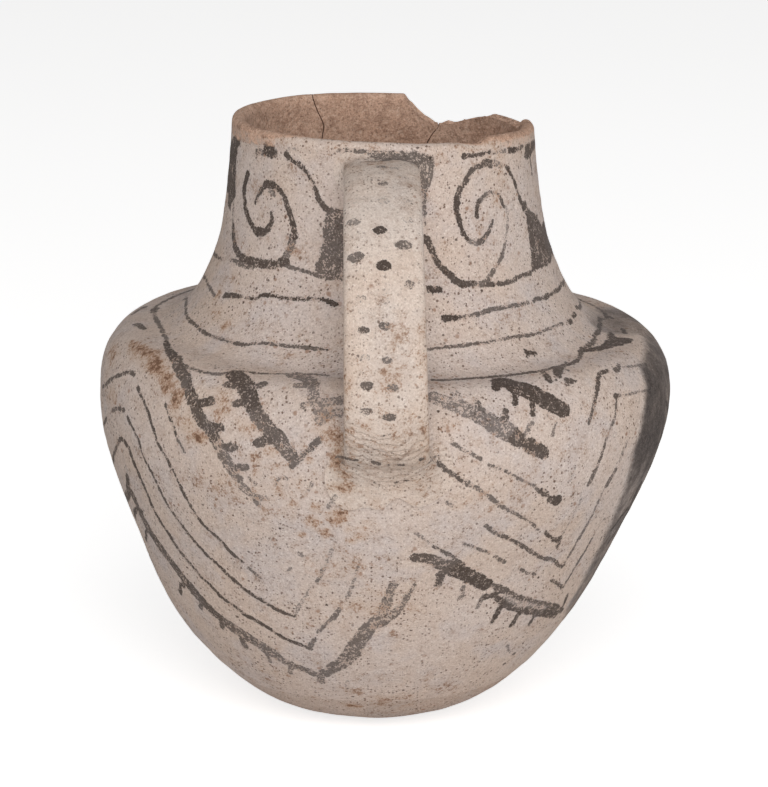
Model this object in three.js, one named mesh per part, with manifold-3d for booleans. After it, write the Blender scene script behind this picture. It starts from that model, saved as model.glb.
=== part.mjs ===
// A hand-built pottery pitcher: courses of clay lapped and pinched into one wall on a moulded base,
// a strap handle riveted through the belly, and a piece of the neck that two cracks have freed.
// Millimetres, +Z up. The origin is the centre of the resting face, and the handle is on the -Y side.
import * as THREE from "three";
import { mergeVertices } from "three/addons/utils/BufferGeometryUtils.js";
import Module from "manifold-3d";

const wasm = await Module();
wasm.setup();

// The three radii that set the pot's build, and the rings of the outer face between them, from the
// resting face up. Below the collar a ring is inset from the belly, above it a ring flares past the
// mouth, and each has its rise above the ring before.
const FOOT_RADIUS = 17.1;
const BELLY_RADIUS = 78.5;
const MOUTH_RADIUS = 41.2;
const HEEL_INSET = 48.3;
const HEEL_RISE = 3.4;
const BOWL_INSET = 35;
const BOWL_RISE = 9.6;
const LOW_FLANK_INSET = 21.6;
const LOW_FLANK_RISE = 16.8;
const HIGH_FLANK_INSET = 10.4;
const HIGH_FLANK_RISE = 23.5;
const UNDER_BELLY_INSET = 1.2;
const UNDER_BELLY_RISE = 25.1;
const BELLY_RISE = 13.8;
const SHOULDER_EDGE_INSET = 1.7;
const SHOULDER_EDGE_RISE = 8.2;
const SHOULDER_INSET = 7.3;
const SHOULDER_RISE = 6.3;
const COLLAR_FLARE = 19.4;
const COLLAR_RISE = 2.1;
const NECK_ROOT_FLARE = 12.8;
const NECK_ROOT_RISE = 5.1;
const NECK_FOOT_FLARE = 8.4;
const NECK_FOOT_RISE = 6.5;
const NECK_FLARE = 3.9;
const NECK_RISE = 11.6;
const THROAT_FLARE = 1.2;
const THROAT_RISE = 16;
const MOUTH_RISE = 14.9;

// The wall's thickness
const BASE_WALL = 7;
const BODY_WALL = 5.2;
const RIM_WALL = 4.2;

// The clay courses
const LOWER_COURSES = 6;
const SHOULDER_COURSES = 2;
const NECK_COURSES = 3;
const BELLY_COURSE_WIDTH = 15.4; // the course that takes the handle's rivet
const LAP = 4.5; // how far a joint climbs on its way through the wall

// The pot leans to +X above its belly, and its shoulder and rim dip on that side
const LEAN = 3.3;
const NECK_SETBACK = 0.5;
const SHOULDER_DIP = 0.018; // fall for each millimetre across
const RIM_DIP = 0.011; // as much again at the rim

// The broken rim: angles in degrees from +X towards +Y, and how much of the rim is gone there
const BREAK_START = 81;
const BREAK_WIDTH = 40;
const BREAK_STEP_DEPTH = 5.3;
const BREAK_DEPTH = 7.4;
const BREAK_LEDGE_DEPTH = 6;
const WORN_WIDTH = 34;
const WORN_DEPTH = 1.5;
const BREAK_STEP_SHARE = 0.2; // of the break's width, where it has stepped down
const BREAK_DEEPEST_SHARE = 0.36;
const BREAK_LEDGE_SHARE = 0.6;
const WORN_SHARE = 0.8; // of the worn width, as far as it is worn evenly
const BREAK_REACH = 14; // nothing lower than this under the rim is disturbed

// The two cracks in the neck's far side, by their distance from the neck's axis
const LEFT_CRACK_TOP = 19.5;
const LEFT_CRACK_BEND = 16.2;
const LEFT_CRACK_FOOT = 17.4;
const RIGHT_CRACK_TOP = 15.8;
const RIGHT_CRACK_BEND = 13.4;
const RIGHT_CRACK_FOOT = 10.6;
const CRACK_BEND_DEPTH = 9;
const CRACK_FOOT_DEPTH = 24;
const CRACK_GAP = 0.3;

// The strap handle
const STRAP_TOP_WIDTH = 19.6;
const STRAP_FOOT_WIDTH = 22.2;
const STRAP_THICKNESS = 7;
const STRAP_EDGE_RADIUS = 2.6;
const STRAP_BELOW_RIM = 7.4; // from the rim to the middle of the strap's upper end
const STRAP_RISE = 2.5; // how far it would climb if it ran on as it starts
const STRAP_STAND_OFF = 9.4; // how far its middle stands out past the belly
const STRAP_BEND_HEIGHT = 16; // from its foot up to its furthest point out
const STRAP_FOOT_HEIGHT = 90;
const STRAP_TOP_SIDESTEP = -0.7;
const STRAP_FOOT_SIDESTEP = 0.4;
const STRAP_ROOT = 3; // how far its ends run into the wall before they are trimmed to it
const STRAP_START_REACH = 0.62; // share of its span that it heads straight out from the neck
const STRAP_BEND_REACH = 0.55; // share of its drop that it heads straight down
const STRAP_TURN_IN = 0.6; // share of the bend's height in which it turns in to the belly
const STRAP_FOOT_REACH = 0.5; // share of its stand-off that it heads straight in

// The strap ends below in a tenon through the wall, which a pad of clay covers inside
const TENON_WIDTH = 11;
const TENON_THICKNESS = 6;
const TENON_EDGE_RADIUS = 1.8;
const TENON_ROOT = 1.5; // how deep in the strap it starts
const TENON_CLEARANCE = 0.3;
const TENON_PROUD = 3;
const PAD_RADIUS = 11.5;
const PAD_COVER = 2.6;
const SEAT_GAP = 0.3;

// The clay smeared round the strap's ends
const FOOT_SMEAR_SPREAD = 5;
const FOOT_SMEAR_REACH = 6;
const TOP_SMEAR_SPREAD = 3.4;
const TOP_SMEAR_REACH = 4;
const SMEAR_EDGE = 1;

// Fineness
const SEGMENTS = 60;
const LOWER_ROWS = 2;
const UPPER_ROWS = 3;
const INNER_ROWS = 2;
const LIP_ROWS = 4;
const STRAP_STEPS = 20;
const EDGE_STEPS = 3;
const SMEAR_STEPS = 4;
const PAD_STEPS = 5;
const PAD_SEGMENTS = 24;
const OUTLINE_DIVISIONS = 1500;
const LENGTH_TOLERANCE = 0.001;

// Outline of the outer face

const rings = {
  foot: { radius: FOOT_RADIUS, rise: 0 },
  heel: { radius: BELLY_RADIUS - HEEL_INSET, rise: HEEL_RISE },
  bowl: { radius: BELLY_RADIUS - BOWL_INSET, rise: BOWL_RISE },
  lowFlank: { radius: BELLY_RADIUS - LOW_FLANK_INSET, rise: LOW_FLANK_RISE },
  highFlank: { radius: BELLY_RADIUS - HIGH_FLANK_INSET, rise: HIGH_FLANK_RISE },
  underBelly: { radius: BELLY_RADIUS - UNDER_BELLY_INSET, rise: UNDER_BELLY_RISE },
  belly: { radius: BELLY_RADIUS, rise: BELLY_RISE },
  shoulderEdge: { radius: BELLY_RADIUS - SHOULDER_EDGE_INSET, rise: SHOULDER_EDGE_RISE },
  shoulder: { radius: BELLY_RADIUS - SHOULDER_INSET, rise: SHOULDER_RISE },
  collar: { radius: MOUTH_RADIUS + COLLAR_FLARE, rise: COLLAR_RISE },
  neckRoot: { radius: MOUTH_RADIUS + NECK_ROOT_FLARE, rise: NECK_ROOT_RISE },
  neckFoot: { radius: MOUTH_RADIUS + NECK_FOOT_FLARE, rise: NECK_FOOT_RISE },
  neck: { radius: MOUTH_RADIUS + NECK_FLARE, rise: NECK_RISE },
  throat: { radius: MOUTH_RADIUS + THROAT_FLARE, rise: THROAT_RISE },
  mouth: { radius: MOUTH_RADIUS, rise: MOUTH_RISE },
};

let climbed = 0;
for (const ring of Object.values(rings)) {
  climbed += ring.rise;
  ring.height = climbed;
}
const RIM_HEIGHT = rings.mouth.height + RIM_WALL / 2;

const outline = new THREE.CatmullRomCurve3(
  Object.values(rings).map((ring) => new THREE.Vector3(ring.radius, ring.height, 0)),
  false,
  "centripetal",
);
outline.arcLengthDivisions = OUTLINE_DIVISIONS;
const OUTLINE_LENGTH = outline.getLength();

function smooth(value, start, end) {
  return THREE.MathUtils.smoothstep(value, start, end);
}

// A point of the outer face at a length along the outline, and the way out of the wall there.
function outlineAt(length) {
  const share = THREE.MathUtils.clamp(length / OUTLINE_LENGTH, 0, 1);
  const point = outline.getPointAt(share);
  const along = outline.getTangentAt(share);
  return { radius: point.x, height: point.y, outR: along.y, outZ: -along.x };
}

// The length along the outline at which the outer face passes a height.
function lengthAtHeight(height) {
  let low = 0;
  let high = OUTLINE_LENGTH;
  while (high - low > LENGTH_TOLERANCE) {
    const middle = (low + high) / 2;
    if (outlineAt(middle).height < height) low = middle;
    else high = middle;
  }
  return low;
}

const HEEL_LENGTH = lengthAtHeight(rings.heel.height);
const BODY_LENGTH = lengthAtHeight(rings.lowFlank.height);
const NECK_LENGTH = lengthAtHeight(rings.neck.height);

function wallAt(length) {
  const lower = BASE_WALL + (BODY_WALL - BASE_WALL) * smooth(length, 0, BODY_LENGTH);
  return lower + (RIM_WALL - BODY_WALL) * smooth(length, NECK_LENGTH, OUTLINE_LENGTH);
}

// A point a given depth behind the outer face.
function behindFace(length, depth) {
  const face = outlineAt(length);
  return { radius: face.radius - depth * face.outR, height: face.height - depth * face.outZ };
}

function innerAt(length) {
  return behindFace(length, wallAt(Math.min(length, OUTLINE_LENGTH)));
}

// Hand building: each point is set round the axis, leant, dipped, and lowered where the rim is broken

const breakPoints = [
  [BREAK_START, 0],
  [BREAK_START - BREAK_WIDTH * BREAK_STEP_SHARE, BREAK_STEP_DEPTH],
  [BREAK_START - BREAK_WIDTH * BREAK_DEEPEST_SHARE, BREAK_DEPTH],
  [BREAK_START - BREAK_WIDTH * BREAK_LEDGE_SHARE, BREAK_LEDGE_DEPTH],
  [BREAK_START - BREAK_WIDTH, WORN_DEPTH],
  [BREAK_START - BREAK_WIDTH - WORN_WIDTH * WORN_SHARE, WORN_DEPTH],
  [BREAK_START - BREAK_WIDTH - WORN_WIDTH, 0],
];

function goneFromRim(degrees) {
  for (let i = 1; i < breakPoints.length; i += 1) {
    const [startAngle, startDepth] = breakPoints[i - 1];
    const [endAngle, endDepth] = breakPoints[i];
    if (degrees <= startAngle && degrees >= endAngle) {
      const share = (startAngle - degrees) / (startAngle - endAngle);
      return startDepth + share * (endDepth - startDepth);
    }
  }
  return 0;
}

function leanAt(height) {
  const out = LEAN * smooth(height, rings.bowl.height, rings.belly.height);
  return out - NECK_SETBACK * smooth(height, rings.shoulder.height, RIM_HEIGHT);
}

function dipAt(height) {
  const shoulder = SHOULDER_DIP * smooth(height, rings.underBelly.height, rings.shoulder.height);
  return shoulder + RIM_DIP * smooth(height, rings.neck.height, RIM_HEIGHT);
}

function onPot(radius, degrees, height) {
  const angle = THREE.MathUtils.degToRad(degrees);
  const x = radius * Math.cos(angle);
  const y = radius * Math.sin(angle);
  const sound = RIM_HEIGHT - BREAK_REACH;
  const kept = 1 - goneFromRim(degrees) / BREAK_REACH;
  const worn = height > sound ? sound + (height - sound) * kept : height;
  return new THREE.Vector3(x + leanAt(height), y, worn - dipAt(height) * x);
}

// Solids

function solidOf(geometry) {
  const bare = new THREE.BufferGeometry();
  bare.setAttribute("position", geometry.getAttribute("position"));
  bare.setIndex(geometry.getIndex());
  const merged = mergeVertices(bare);
  const mesh = new wasm.Mesh({
    numProp: 3,
    vertProperties: merged.getAttribute("position").array,
    triVerts: new Uint32Array(merged.getIndex().array),
  });
  return new wasm.Manifold(mesh);
}

function geometryOf(solid) {
  const mesh = solid.getMesh();
  const geometry = new THREE.BufferGeometry();
  geometry.setAttribute("position", new THREE.BufferAttribute(mesh.vertProperties, 3));
  geometry.setIndex(new THREE.BufferAttribute(mesh.triVerts, 1));
  geometry.computeVertexNormals();
  return geometry;
}

function geometryFrom(points, triangles) {
  const geometry = new THREE.BufferGeometry().setFromPoints(points);
  geometry.setIndex(triangles);
  geometry.computeVertexNormals();
  return geometry;
}

// A section turned round the pot's axis. Its points run up the outside and down the inside, and it
// closes on itself or starts and ends on the axis. The closing face is split the other way across,
// so that it meets the course below triangle for triangle.
function turned(section) {
  const points = [];
  const ringStarts = section.map((point) => {
    const start = points.length;
    const copies = point.radius === 0 ? 1 : SEGMENTS;
    for (let i = 0; i < copies; i += 1) {
      points.push(onPot(point.radius, (360 * i) / SEGMENTS, point.height));
    }
    return start;
  });
  const vertex = (ring, turn) => {
    const single = section[ring].radius === 0;
    return ringStarts[ring] + (single ? 0 : turn % SEGMENTS);
  };
  const onAxis = section[0].radius === 0;
  const steps = onAxis ? section.length - 1 : section.length;
  const triangles = [];
  for (let i = 0; i < steps; i += 1) {
    const next = (i + 1) % section.length;
    for (let turn = 0; turn < SEGMENTS; turn += 1) {
      const a = vertex(i, turn);
      const b = vertex(i, turn + 1);
      const c = vertex(next, turn + 1);
      const d = vertex(next, turn);
      if (a === b) triangles.push(a, c, d);
      else if (c === d) triangles.push(a, b, c);
      else if (next === 0) triangles.push(a, b, d, b, c, d);
      else triangles.push(a, b, c, a, c, d);
    }
  }
  return geometryFrom(points, triangles);
}

// A bar whose closed cross-sections are given one after another, each turning right-handed along it.
function lofted(crossSections) {
  const count = crossSections[0].length;
  const points = crossSections.flat();
  const triangles = [];
  for (let i = 0; i + 1 < crossSections.length; i += 1) {
    for (let j = 0; j < count; j += 1) {
      const a = i * count + j;
      const b = i * count + ((j + 1) % count);
      triangles.push(a, b, b + count, a, b + count, a + count);
    }
  }
  const last = (crossSections.length - 1) * count;
  for (let j = 1; j + 1 < count; j += 1) {
    triangles.push(0, j + 1, j);
    triangles.push(last, last + j, last + j + 1);
  }
  return geometryFrom(points, triangles);
}

// A rectangle with round corners about a point, in the plane square to a direction.
function roundedSection(centre, along, width, thickness, corner) {
  const side = new THREE.Vector3(1, 0, 0);
  const out = new THREE.Vector3().crossVectors(along, side);
  const section = [];
  for (const [right, up] of [[1, 1], [-1, 1], [-1, -1], [1, -1]]) {
    const firstAngle = Math.atan2(up, right) - Math.PI / 4;
    for (let i = 0; i <= EDGE_STEPS; i += 1) {
      const angle = firstAngle + ((Math.PI / 2) * i) / EDGE_STEPS;
      const across = right * (width / 2 - corner) + corner * Math.cos(angle);
      const outward = up * (thickness / 2 - corner) + corner * Math.sin(angle);
      section.push(centre.clone().addScaledVector(side, across).addScaledVector(out, outward));
    }
  }
  return section;
}

// The courses: outer face upwards, joint, inner face downwards, joint

function rowsBetween(start, end, rows, pointAt) {
  const found = [];
  for (let i = 0; i <= rows; i += 1) {
    found.push(pointAt(start + ((end - start) * i) / rows));
  }
  return found;
}

// The round of the lip, grown by a gap: the given share of the half circle over the mouth's edge.
function lipSection(gap, share) {
  const wall = wallAt(OUTLINE_LENGTH);
  const middle = behindFace(OUTLINE_LENGTH, wall / 2);
  const { outR, outZ } = outlineAt(OUTLINE_LENGTH);
  return rowsBetween(0, Math.PI * share, LIP_ROWS * share, (angle) => {
    const out = (wall / 2 + gap) * Math.cos(angle);
    const up = (wall / 2 + gap) * Math.sin(angle);
    return {
      radius: middle.radius + out * outR - up * outZ,
      height: middle.height + out * outZ + up * outR,
    };
  });
}

function courseSection(start, end, rows) {
  const outer = rowsBetween(start, end, rows, outlineAt);
  const inner = rowsBetween(end + LAP, start + LAP, INNER_ROWS, innerAt);
  return [...outer, ...inner];
}

function rimSection(start, rows) {
  const outer = rowsBetween(start, OUTLINE_LENGTH, rows, outlineAt);
  const inner = rowsBetween(OUTLINE_LENGTH, start + LAP, rows, innerAt);
  return [...outer.slice(0, -1), ...lipSection(0, 1), ...inner.slice(1)];
}

function baseSection(end) {
  const outer = rowsBetween(0, end, UPPER_ROWS, outlineAt);
  const inner = rowsBetween(end + LAP, 0, UPPER_ROWS, innerAt);
  return [{ radius: 0, height: 0 }, ...outer, ...inner, { radius: 0, height: BASE_WALL }];
}

// The courses from the base up, by where their outer faces start and end along the outline

const strapFootLength = lengthAtHeight(STRAP_FOOT_HEIGHT);
const bellyStart = strapFootLength - (BELLY_COURSE_WIDTH + LAP) / 2;
const bellyEnd = bellyStart + BELLY_COURSE_WIDTH;
const lowerWidth = (bellyStart - HEEL_LENGTH) / LOWER_COURSES;
const upperWidth = (OUTLINE_LENGTH - bellyEnd) / (SHOULDER_COURSES + NECK_COURSES + 1);

const courses = [];

function addCourses(name, count, width, rows) {
  for (let i = 0; i < count; i += 1) {
    const start = courses.length ? courses.at(-1).end : HEEL_LENGTH;
    const label = count > 1 ? `${name}_${i + 1}` : name;
    courses.push({ name: label, start, end: start + width, rows });
  }
}

addCourses("lower_wall_coil", LOWER_COURSES, lowerWidth, LOWER_ROWS);
addCourses("belly_coil", 1, BELLY_COURSE_WIDTH, UPPER_ROWS);
addCourses("shoulder_coil", SHOULDER_COURSES, upperWidth, UPPER_ROWS);
addCourses("neck_coil", NECK_COURSES, upperWidth, UPPER_ROWS);
const topNeckCourse = courses.at(-1);
const rimStart = topNeckCourse.end;

// The wall's outer or inner face as a whole, with its rows where the courses have theirs.
function wholeFace(lap, rowsOf, pointAt) {
  const face = rowsBetween(0, HEEL_LENGTH + lap, UPPER_ROWS, pointAt);
  for (const course of courses) {
    const rows = rowsBetween(course.start + lap, course.end + lap, rowsOf(course), pointAt);
    face.push(...rows.slice(1));
  }
  face.push(...rowsBetween(rimStart + lap, OUTLINE_LENGTH, UPPER_ROWS, pointAt).slice(1));
  return face;
}

// The space under the outer face, grown by a gap, which trims what is stuck on outside.
function potSpace(gap) {
  const outer = wholeFace(0, (course) => course.rows, (length) => behindFace(length, -gap));
  const top = { radius: 0, height: RIM_HEIGHT + gap };
  const wall = [...outer.slice(0, -1), ...lipSection(gap, 0.5)];
  return solidOf(turned([{ radius: 0, height: -gap }, ...wall, top]));
}

// The hollow inside, shrunk by a gap, which trims what is stuck on inside.
function hollowSpace(gap) {
  const inner = wholeFace(LAP, () => INNER_ROWS, (length) => {
    return behindFace(length, wallAt(length) + gap);
  });
  const floor = { radius: 0, height: BASE_WALL + gap };
  return solidOf(turned([floor, ...inner, { radius: 0, height: RIM_HEIGHT }]));
}

// The sherd: what lies between the two cracks, down to the joint under the topmost neck course

function sherdCutter(grown) {
  const axis = leanAt(RIM_HEIGHT);
  const bend = RIM_HEIGHT - CRACK_BEND_DEPTH;
  const foot = RIM_HEIGHT - CRACK_FOOT_DEPTH;
  const below = rings.neckRoot.height;
  const above = RIM_HEIGHT + RIM_WALL;
  const shape = new THREE.Shape([
    new THREE.Vector2(axis - LEFT_CRACK_FOOT - grown, below),
    new THREE.Vector2(axis + RIGHT_CRACK_FOOT + grown, below),
    new THREE.Vector2(axis + RIGHT_CRACK_FOOT + grown, foot),
    new THREE.Vector2(axis + RIGHT_CRACK_BEND + grown, bend),
    new THREE.Vector2(axis + RIGHT_CRACK_TOP + grown, above),
    new THREE.Vector2(axis - LEFT_CRACK_TOP - grown, above),
    new THREE.Vector2(axis - LEFT_CRACK_BEND - grown, bend),
    new THREE.Vector2(axis - LEFT_CRACK_FOOT - grown, foot),
  ]);
  const depth = BELLY_RADIUS;
  const prism = new THREE.ExtrudeGeometry(shape, { depth, bevelEnabled: false });
  prism.rotateX(Math.PI / 2).translate(0, depth, 0);
  return solidOf(prism);
}

// The strap handle

const strapTopLength = lengthAtHeight(RIM_HEIGHT - STRAP_BELOW_RIM);
const strapTop = outlineAt(strapTopLength);
const strapFoot = outlineAt(strapFootLength);
const footWall = wallAt(strapFootLength);
const WIDEST = Math.max(...Object.values(rings).map((ring) => ring.radius));

// A point straight out of the wall from one on its outer face; a negative distance goes inwards.
function outFrom(face, distance, aside = 0) {
  const reach = face.radius + distance * face.outR;
  return new THREE.Vector3(aside, -reach, face.height + distance * face.outZ);
}

function strapPath() {
  const bend = new THREE.Vector3(0, -WIDEST - STRAP_STAND_OFF, strapFoot.height + STRAP_BEND_HEIGHT);
  const span = -bend.y - strapTop.radius;
  const drop = strapTop.height - bend.z;
  const rising = new THREE.Vector3(0, 0, STRAP_RISE);
  const up = new THREE.Vector3(0, 0, 1);
  const path = new THREE.CurvePath();
  path.add(
    new THREE.CubicBezierCurve3(
      outFrom(strapTop, -STRAP_ROOT),
      outFrom(strapTop, STRAP_START_REACH * span).add(rising),
      bend.clone().addScaledVector(up, STRAP_BEND_REACH * drop),
      bend,
    ),
  );
  path.add(
    new THREE.CubicBezierCurve3(
      bend,
      bend.clone().addScaledVector(up, -STRAP_TURN_IN * STRAP_BEND_HEIGHT),
      outFrom(strapFoot, STRAP_FOOT_REACH * STRAP_STAND_OFF),
      outFrom(strapFoot, -STRAP_ROOT),
    ),
  );
  return path;
}

const path = strapPath();
const PATH_LENGTH = path.getLength();
const topAside = STRAP_TOP_SIDESTEP + leanAt(strapTop.height);
const footAside = STRAP_FOOT_SIDESTEP + leanAt(strapFoot.height);

// The strap's cross-section at a length along it, grown all round.
function strapSection(length, grown) {
  const share = THREE.MathUtils.clamp(length / PATH_LENGTH, 0, 1);
  const centre = path.getPointAt(share);
  centre.x = topAside + (footAside - topAside) * share;
  const along = path.getTangentAt(share);
  const width = STRAP_TOP_WIDTH + (STRAP_FOOT_WIDTH - STRAP_TOP_WIDTH) * share;
  const thickness = STRAP_THICKNESS + 2 * grown;
  return roundedSection(centre, along, width + 2 * grown, thickness, STRAP_EDGE_RADIUS + grown);
}

function strapBar(start, end, steps, grownAt) {
  return solidOf(
    lofted(rowsBetween(start, end, steps, (length) => strapSection(length, grownAt(length)))),
  );
}

// The tenon, square to the wall, between two distances out from the outer face.
function tenonBar(start, end, grown) {
  const along = new THREE.Vector3(0, strapFoot.outR, -strapFoot.outZ);
  const width = TENON_WIDTH + 2 * grown;
  const thickness = TENON_THICKNESS + 2 * grown;
  const sections = [start, end].map((distance) => {
    const centre = outFrom(strapFoot, distance, footAside);
    return roundedSection(centre, along, width, thickness, TENON_EDGE_RADIUS + grown);
  });
  return solidOf(lofted(sections));
}

function handleStrap() {
  const bar = strapBar(0, PATH_LENGTH, STRAP_STEPS, () => 0).subtract(potSpace(SEAT_GAP));
  return bar.add(tenonBar(SEAT_GAP + TENON_ROOT, -footWall - TENON_PROUD, 0));
}

// The tenon's way through the wall and into the pad.
function tenonHole() {
  const deepest = footWall + TENON_PROUD + TENON_CLEARANCE;
  return tenonBar(SEAT_GAP + TENON_ROOT + TENON_CLEARANCE, -deepest, TENON_CLEARANCE);
}

// Clay smeared round the strap, widest against the wall and thinning away along the strap.
function smear(start, end, spreadAt) {
  const spread = (length) => SMEAR_EDGE + spreadAt(length);
  const clay = strapBar(start, end, SMEAR_STEPS, spread);
  const strap = strapBar(0, PATH_LENGTH, STRAP_STEPS, () => SEAT_GAP);
  return clay.subtract(strap).subtract(potSpace(SEAT_GAP));
}

function footSmear() {
  const start = PATH_LENGTH - STRAP_ROOT - FOOT_SMEAR_REACH;
  const wide = FOOT_SMEAR_SPREAD - SMEAR_EDGE;
  const clay = smear(start, PATH_LENGTH, (length) => {
    return wide * smooth(length, start, start + FOOT_SMEAR_REACH) ** 2;
  });
  return clay.subtract(tenonHole());
}

function topSmear() {
  const end = STRAP_ROOT + TOP_SMEAR_REACH;
  const wide = TOP_SMEAR_SPREAD - SMEAR_EDGE;
  return smear(0, end, (length) => wide * (1 - smooth(length, STRAP_ROOT, end)) ** 2);
}

// The pad inside: a low dome of clay over the tenon's end, hollowed to take it.
function rivetPad() {
  const rise = TENON_PROUD + PAD_COVER;
  const profile = [new THREE.Vector2(0, -BODY_WALL), new THREE.Vector2(PAD_RADIUS, -BODY_WALL)];
  for (let i = 0; i < PAD_STEPS; i += 1) {
    const angle = ((Math.PI / 2) * i) / PAD_STEPS;
    profile.push(new THREE.Vector2(PAD_RADIUS * Math.cos(angle), rise * Math.sin(angle)));
  }
  profile.push(new THREE.Vector2(0, rise));
  const dome = new THREE.LatheGeometry(profile, PAD_SEGMENTS);
  const seat = outFrom(strapFoot, -footWall, footAside);
  dome.rotateX(Math.atan2(-strapFoot.outZ, strapFoot.outR)).translate(seat.x, seat.y, seat.z);
  return solidOf(dome).intersect(hollowSpace(SEAT_GAP)).subtract(tenonHole());
}

// The pieces

const clays = {
  slipped: { color: 0xc8b9af, roughness: 0.86, metalness: 0 },
  strap: { color: 0xd2c3b8, roughness: 0.86, metalness: 0 },
  bare: { color: 0xa88a76, roughness: 0.92, metalness: 0 },
};

const pitcher = new THREE.Group();

function addPiece(name, geometry, clay) {
  const piece = new THREE.Mesh(geometry, new THREE.MeshStandardMaterial(clays[clay]));
  piece.name = name;
  pitcher.add(piece);
}

addPiece("base_pat", turned(baseSection(HEEL_LENGTH)), "slipped");

const throughWall = tenonHole();
const betweenCracks = sherdCutter(CRACK_GAP);
for (const course of courses) {
  let geometry = turned(courseSection(course.start, course.end, course.rows));
  if (course.name === "belly_coil") {
    geometry = geometryOf(solidOf(geometry).subtract(throughWall));
  }
  if (course === topNeckCourse) {
    geometry = geometryOf(solidOf(geometry).subtract(betweenCracks));
  }
  addPiece(course.name, geometry, "slipped");
}

const rim = solidOf(turned(rimSection(rimStart, UPPER_ROWS)));
addPiece("rim_coil", geometryOf(rim.subtract(betweenCracks)), "slipped");

const farSide = solidOf(turned(rimSection(topNeckCourse.start, 2 * UPPER_ROWS)));
addPiece("rear_neck_sherd", geometryOf(farSide.intersect(sherdCutter(0))), "slipped");

addPiece("handle_strap", geometryOf(handleStrap()), "strap");
addPiece("handle_top_smear", geometryOf(topSmear()), "strap");
addPiece("handle_foot_smear", geometryOf(footSmear()), "strap");
addPiece("handle_rivet_pad", geometryOf(rivetPad()), "bare");

export default pitcher;
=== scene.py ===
import math

import bpy
import numpy as np
from mathutils import Euler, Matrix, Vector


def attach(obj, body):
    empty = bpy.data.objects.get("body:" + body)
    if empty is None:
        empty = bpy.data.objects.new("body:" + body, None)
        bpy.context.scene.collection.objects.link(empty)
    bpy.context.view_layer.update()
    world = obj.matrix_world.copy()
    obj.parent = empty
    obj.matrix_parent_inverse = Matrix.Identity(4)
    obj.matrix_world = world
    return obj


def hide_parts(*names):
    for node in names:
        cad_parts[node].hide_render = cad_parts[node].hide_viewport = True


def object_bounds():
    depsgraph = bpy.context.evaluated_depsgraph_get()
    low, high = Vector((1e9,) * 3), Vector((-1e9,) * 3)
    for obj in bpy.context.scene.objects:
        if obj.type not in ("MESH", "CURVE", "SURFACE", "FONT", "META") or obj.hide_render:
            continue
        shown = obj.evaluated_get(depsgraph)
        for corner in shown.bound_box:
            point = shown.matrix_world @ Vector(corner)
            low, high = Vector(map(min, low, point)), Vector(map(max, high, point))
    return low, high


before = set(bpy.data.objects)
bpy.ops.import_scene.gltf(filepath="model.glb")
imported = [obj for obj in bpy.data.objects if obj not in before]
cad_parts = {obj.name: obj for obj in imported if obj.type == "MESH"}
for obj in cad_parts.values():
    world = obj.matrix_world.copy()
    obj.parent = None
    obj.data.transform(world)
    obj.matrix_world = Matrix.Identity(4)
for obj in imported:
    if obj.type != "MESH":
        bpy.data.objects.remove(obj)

cad_low, cad_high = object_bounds()
MM = 0.001

# Build of the pot, as in its construction

RINGS = {  # radius and height of the outer face
    "foot": (17.1, 0),
    "heel": (30.2, 3.4),
    "bowl": (43.5, 13),
    "low_flank": (56.9, 29.8),
    "high_flank": (68.1, 53.3),
    "under_belly": (77.3, 78.4),
    "belly": (78.5, 92.2),
    "shoulder_edge": (76.8, 100.4),
    "shoulder": (71.2, 106.7),
    "collar": (60.6, 108.8),
    "neck_root": (54.0, 113.9),
    "neck_foot": (49.6, 120.4),
    "neck": (45.1, 132),
    "throat": (42.4, 148),
    "mouth": (41.2, 162.9),
}
BASE_WALL = 7
BODY_WALL = 5.2
RIM_WALL = 4.2
LOWER_COURSES = 6
BELLY_COURSE_WIDTH = 15.4
LAP = 4.5
LEAN = 3.3
NECK_SETBACK = 0.5
SHOULDER_DIP = 0.018
RIM_DIP = 0.011
BREAK_REACH = 14  # how far down the wall gives way to the broken rim
RIM_HEIGHT = RINGS["mouth"][1] + RIM_WALL / 2

# The broken rim: degrees round from the handle, and how much height is gone there
BREAK = [
    (97, 0), (100.5, 1.5), (103, 1.8), (104.5, 1.5), (131, 1.4), (134, 2.6), (140, 3.6), (146, 5.2),
    (150, 6.4), (153.5, 6), (156.6, 7.4), (159, 7.1), (161, 5.9), (163, 5.2), (166, 3.2), (168.5, 1.0),
    (170, 0.5), (171, 0),
]
BREAK_FADE = (0.2, 0.9)  # between these losses of height the rounded lip turns into a broken edge
TOOTH = 0.6  # of the broken edge, up and down

# The cracks in the far side of the neck: distance from its axis at each depth below the rim
LEFT_CRACK = [(0, 19.5), (3, 18.7), (6, 17.6), (9, 16.2), (13, 16.9), (18, 16.6), (24, 17.4)]
RIGHT_CRACK = [(0, 15.8), (4, 15.4), (7, 13.9), (9, 13.4), (14, 12.1), (19, 11.9), (24, 10.6)]
CRACK_GAP = 0.3

# The near lip's wear: how far it stands over its plain course, by degrees round from the handle
LIP_RISE = [
    (-50, 0), (-31, 0.3), (-21, 0.45), (-9, 0.6), (4, 0.4), (16, 0.1), (28, 0), (37, -0.6), (39.8, -0.6),
    (42.5, 0.45), (47, 0.9), (58, 0.6), (72, 0),
]
LIP_RISE_RANGE = (4.5, 0.5)  # how far below the rim the rise starts and is whole
LIP_CLEARANCE = 0.1  # between the raised lip and the top of the part's box

# How far below the lip the skin is rubbed off, by degrees round from the handle
LIP_RUBBED = [
    (-180, 2.8), (-65, 3.4), (-45, 2), (-32, 0.9), (-20, 0.4), (20, 0.4), (32, 0.8), (45, 1.3), (65, 1.8),
    (180, 2.8),
]
RUBBED_EDGE = 0.6  # half the width of the edge between rubbed and whole skin
LIP_BAND = (-2, 0.6)  # past the end of the outer face: where the lip begins and is whole
LIP_SIDES = (22, 55)  # degrees from the front between which the lip's wear sets in

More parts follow.
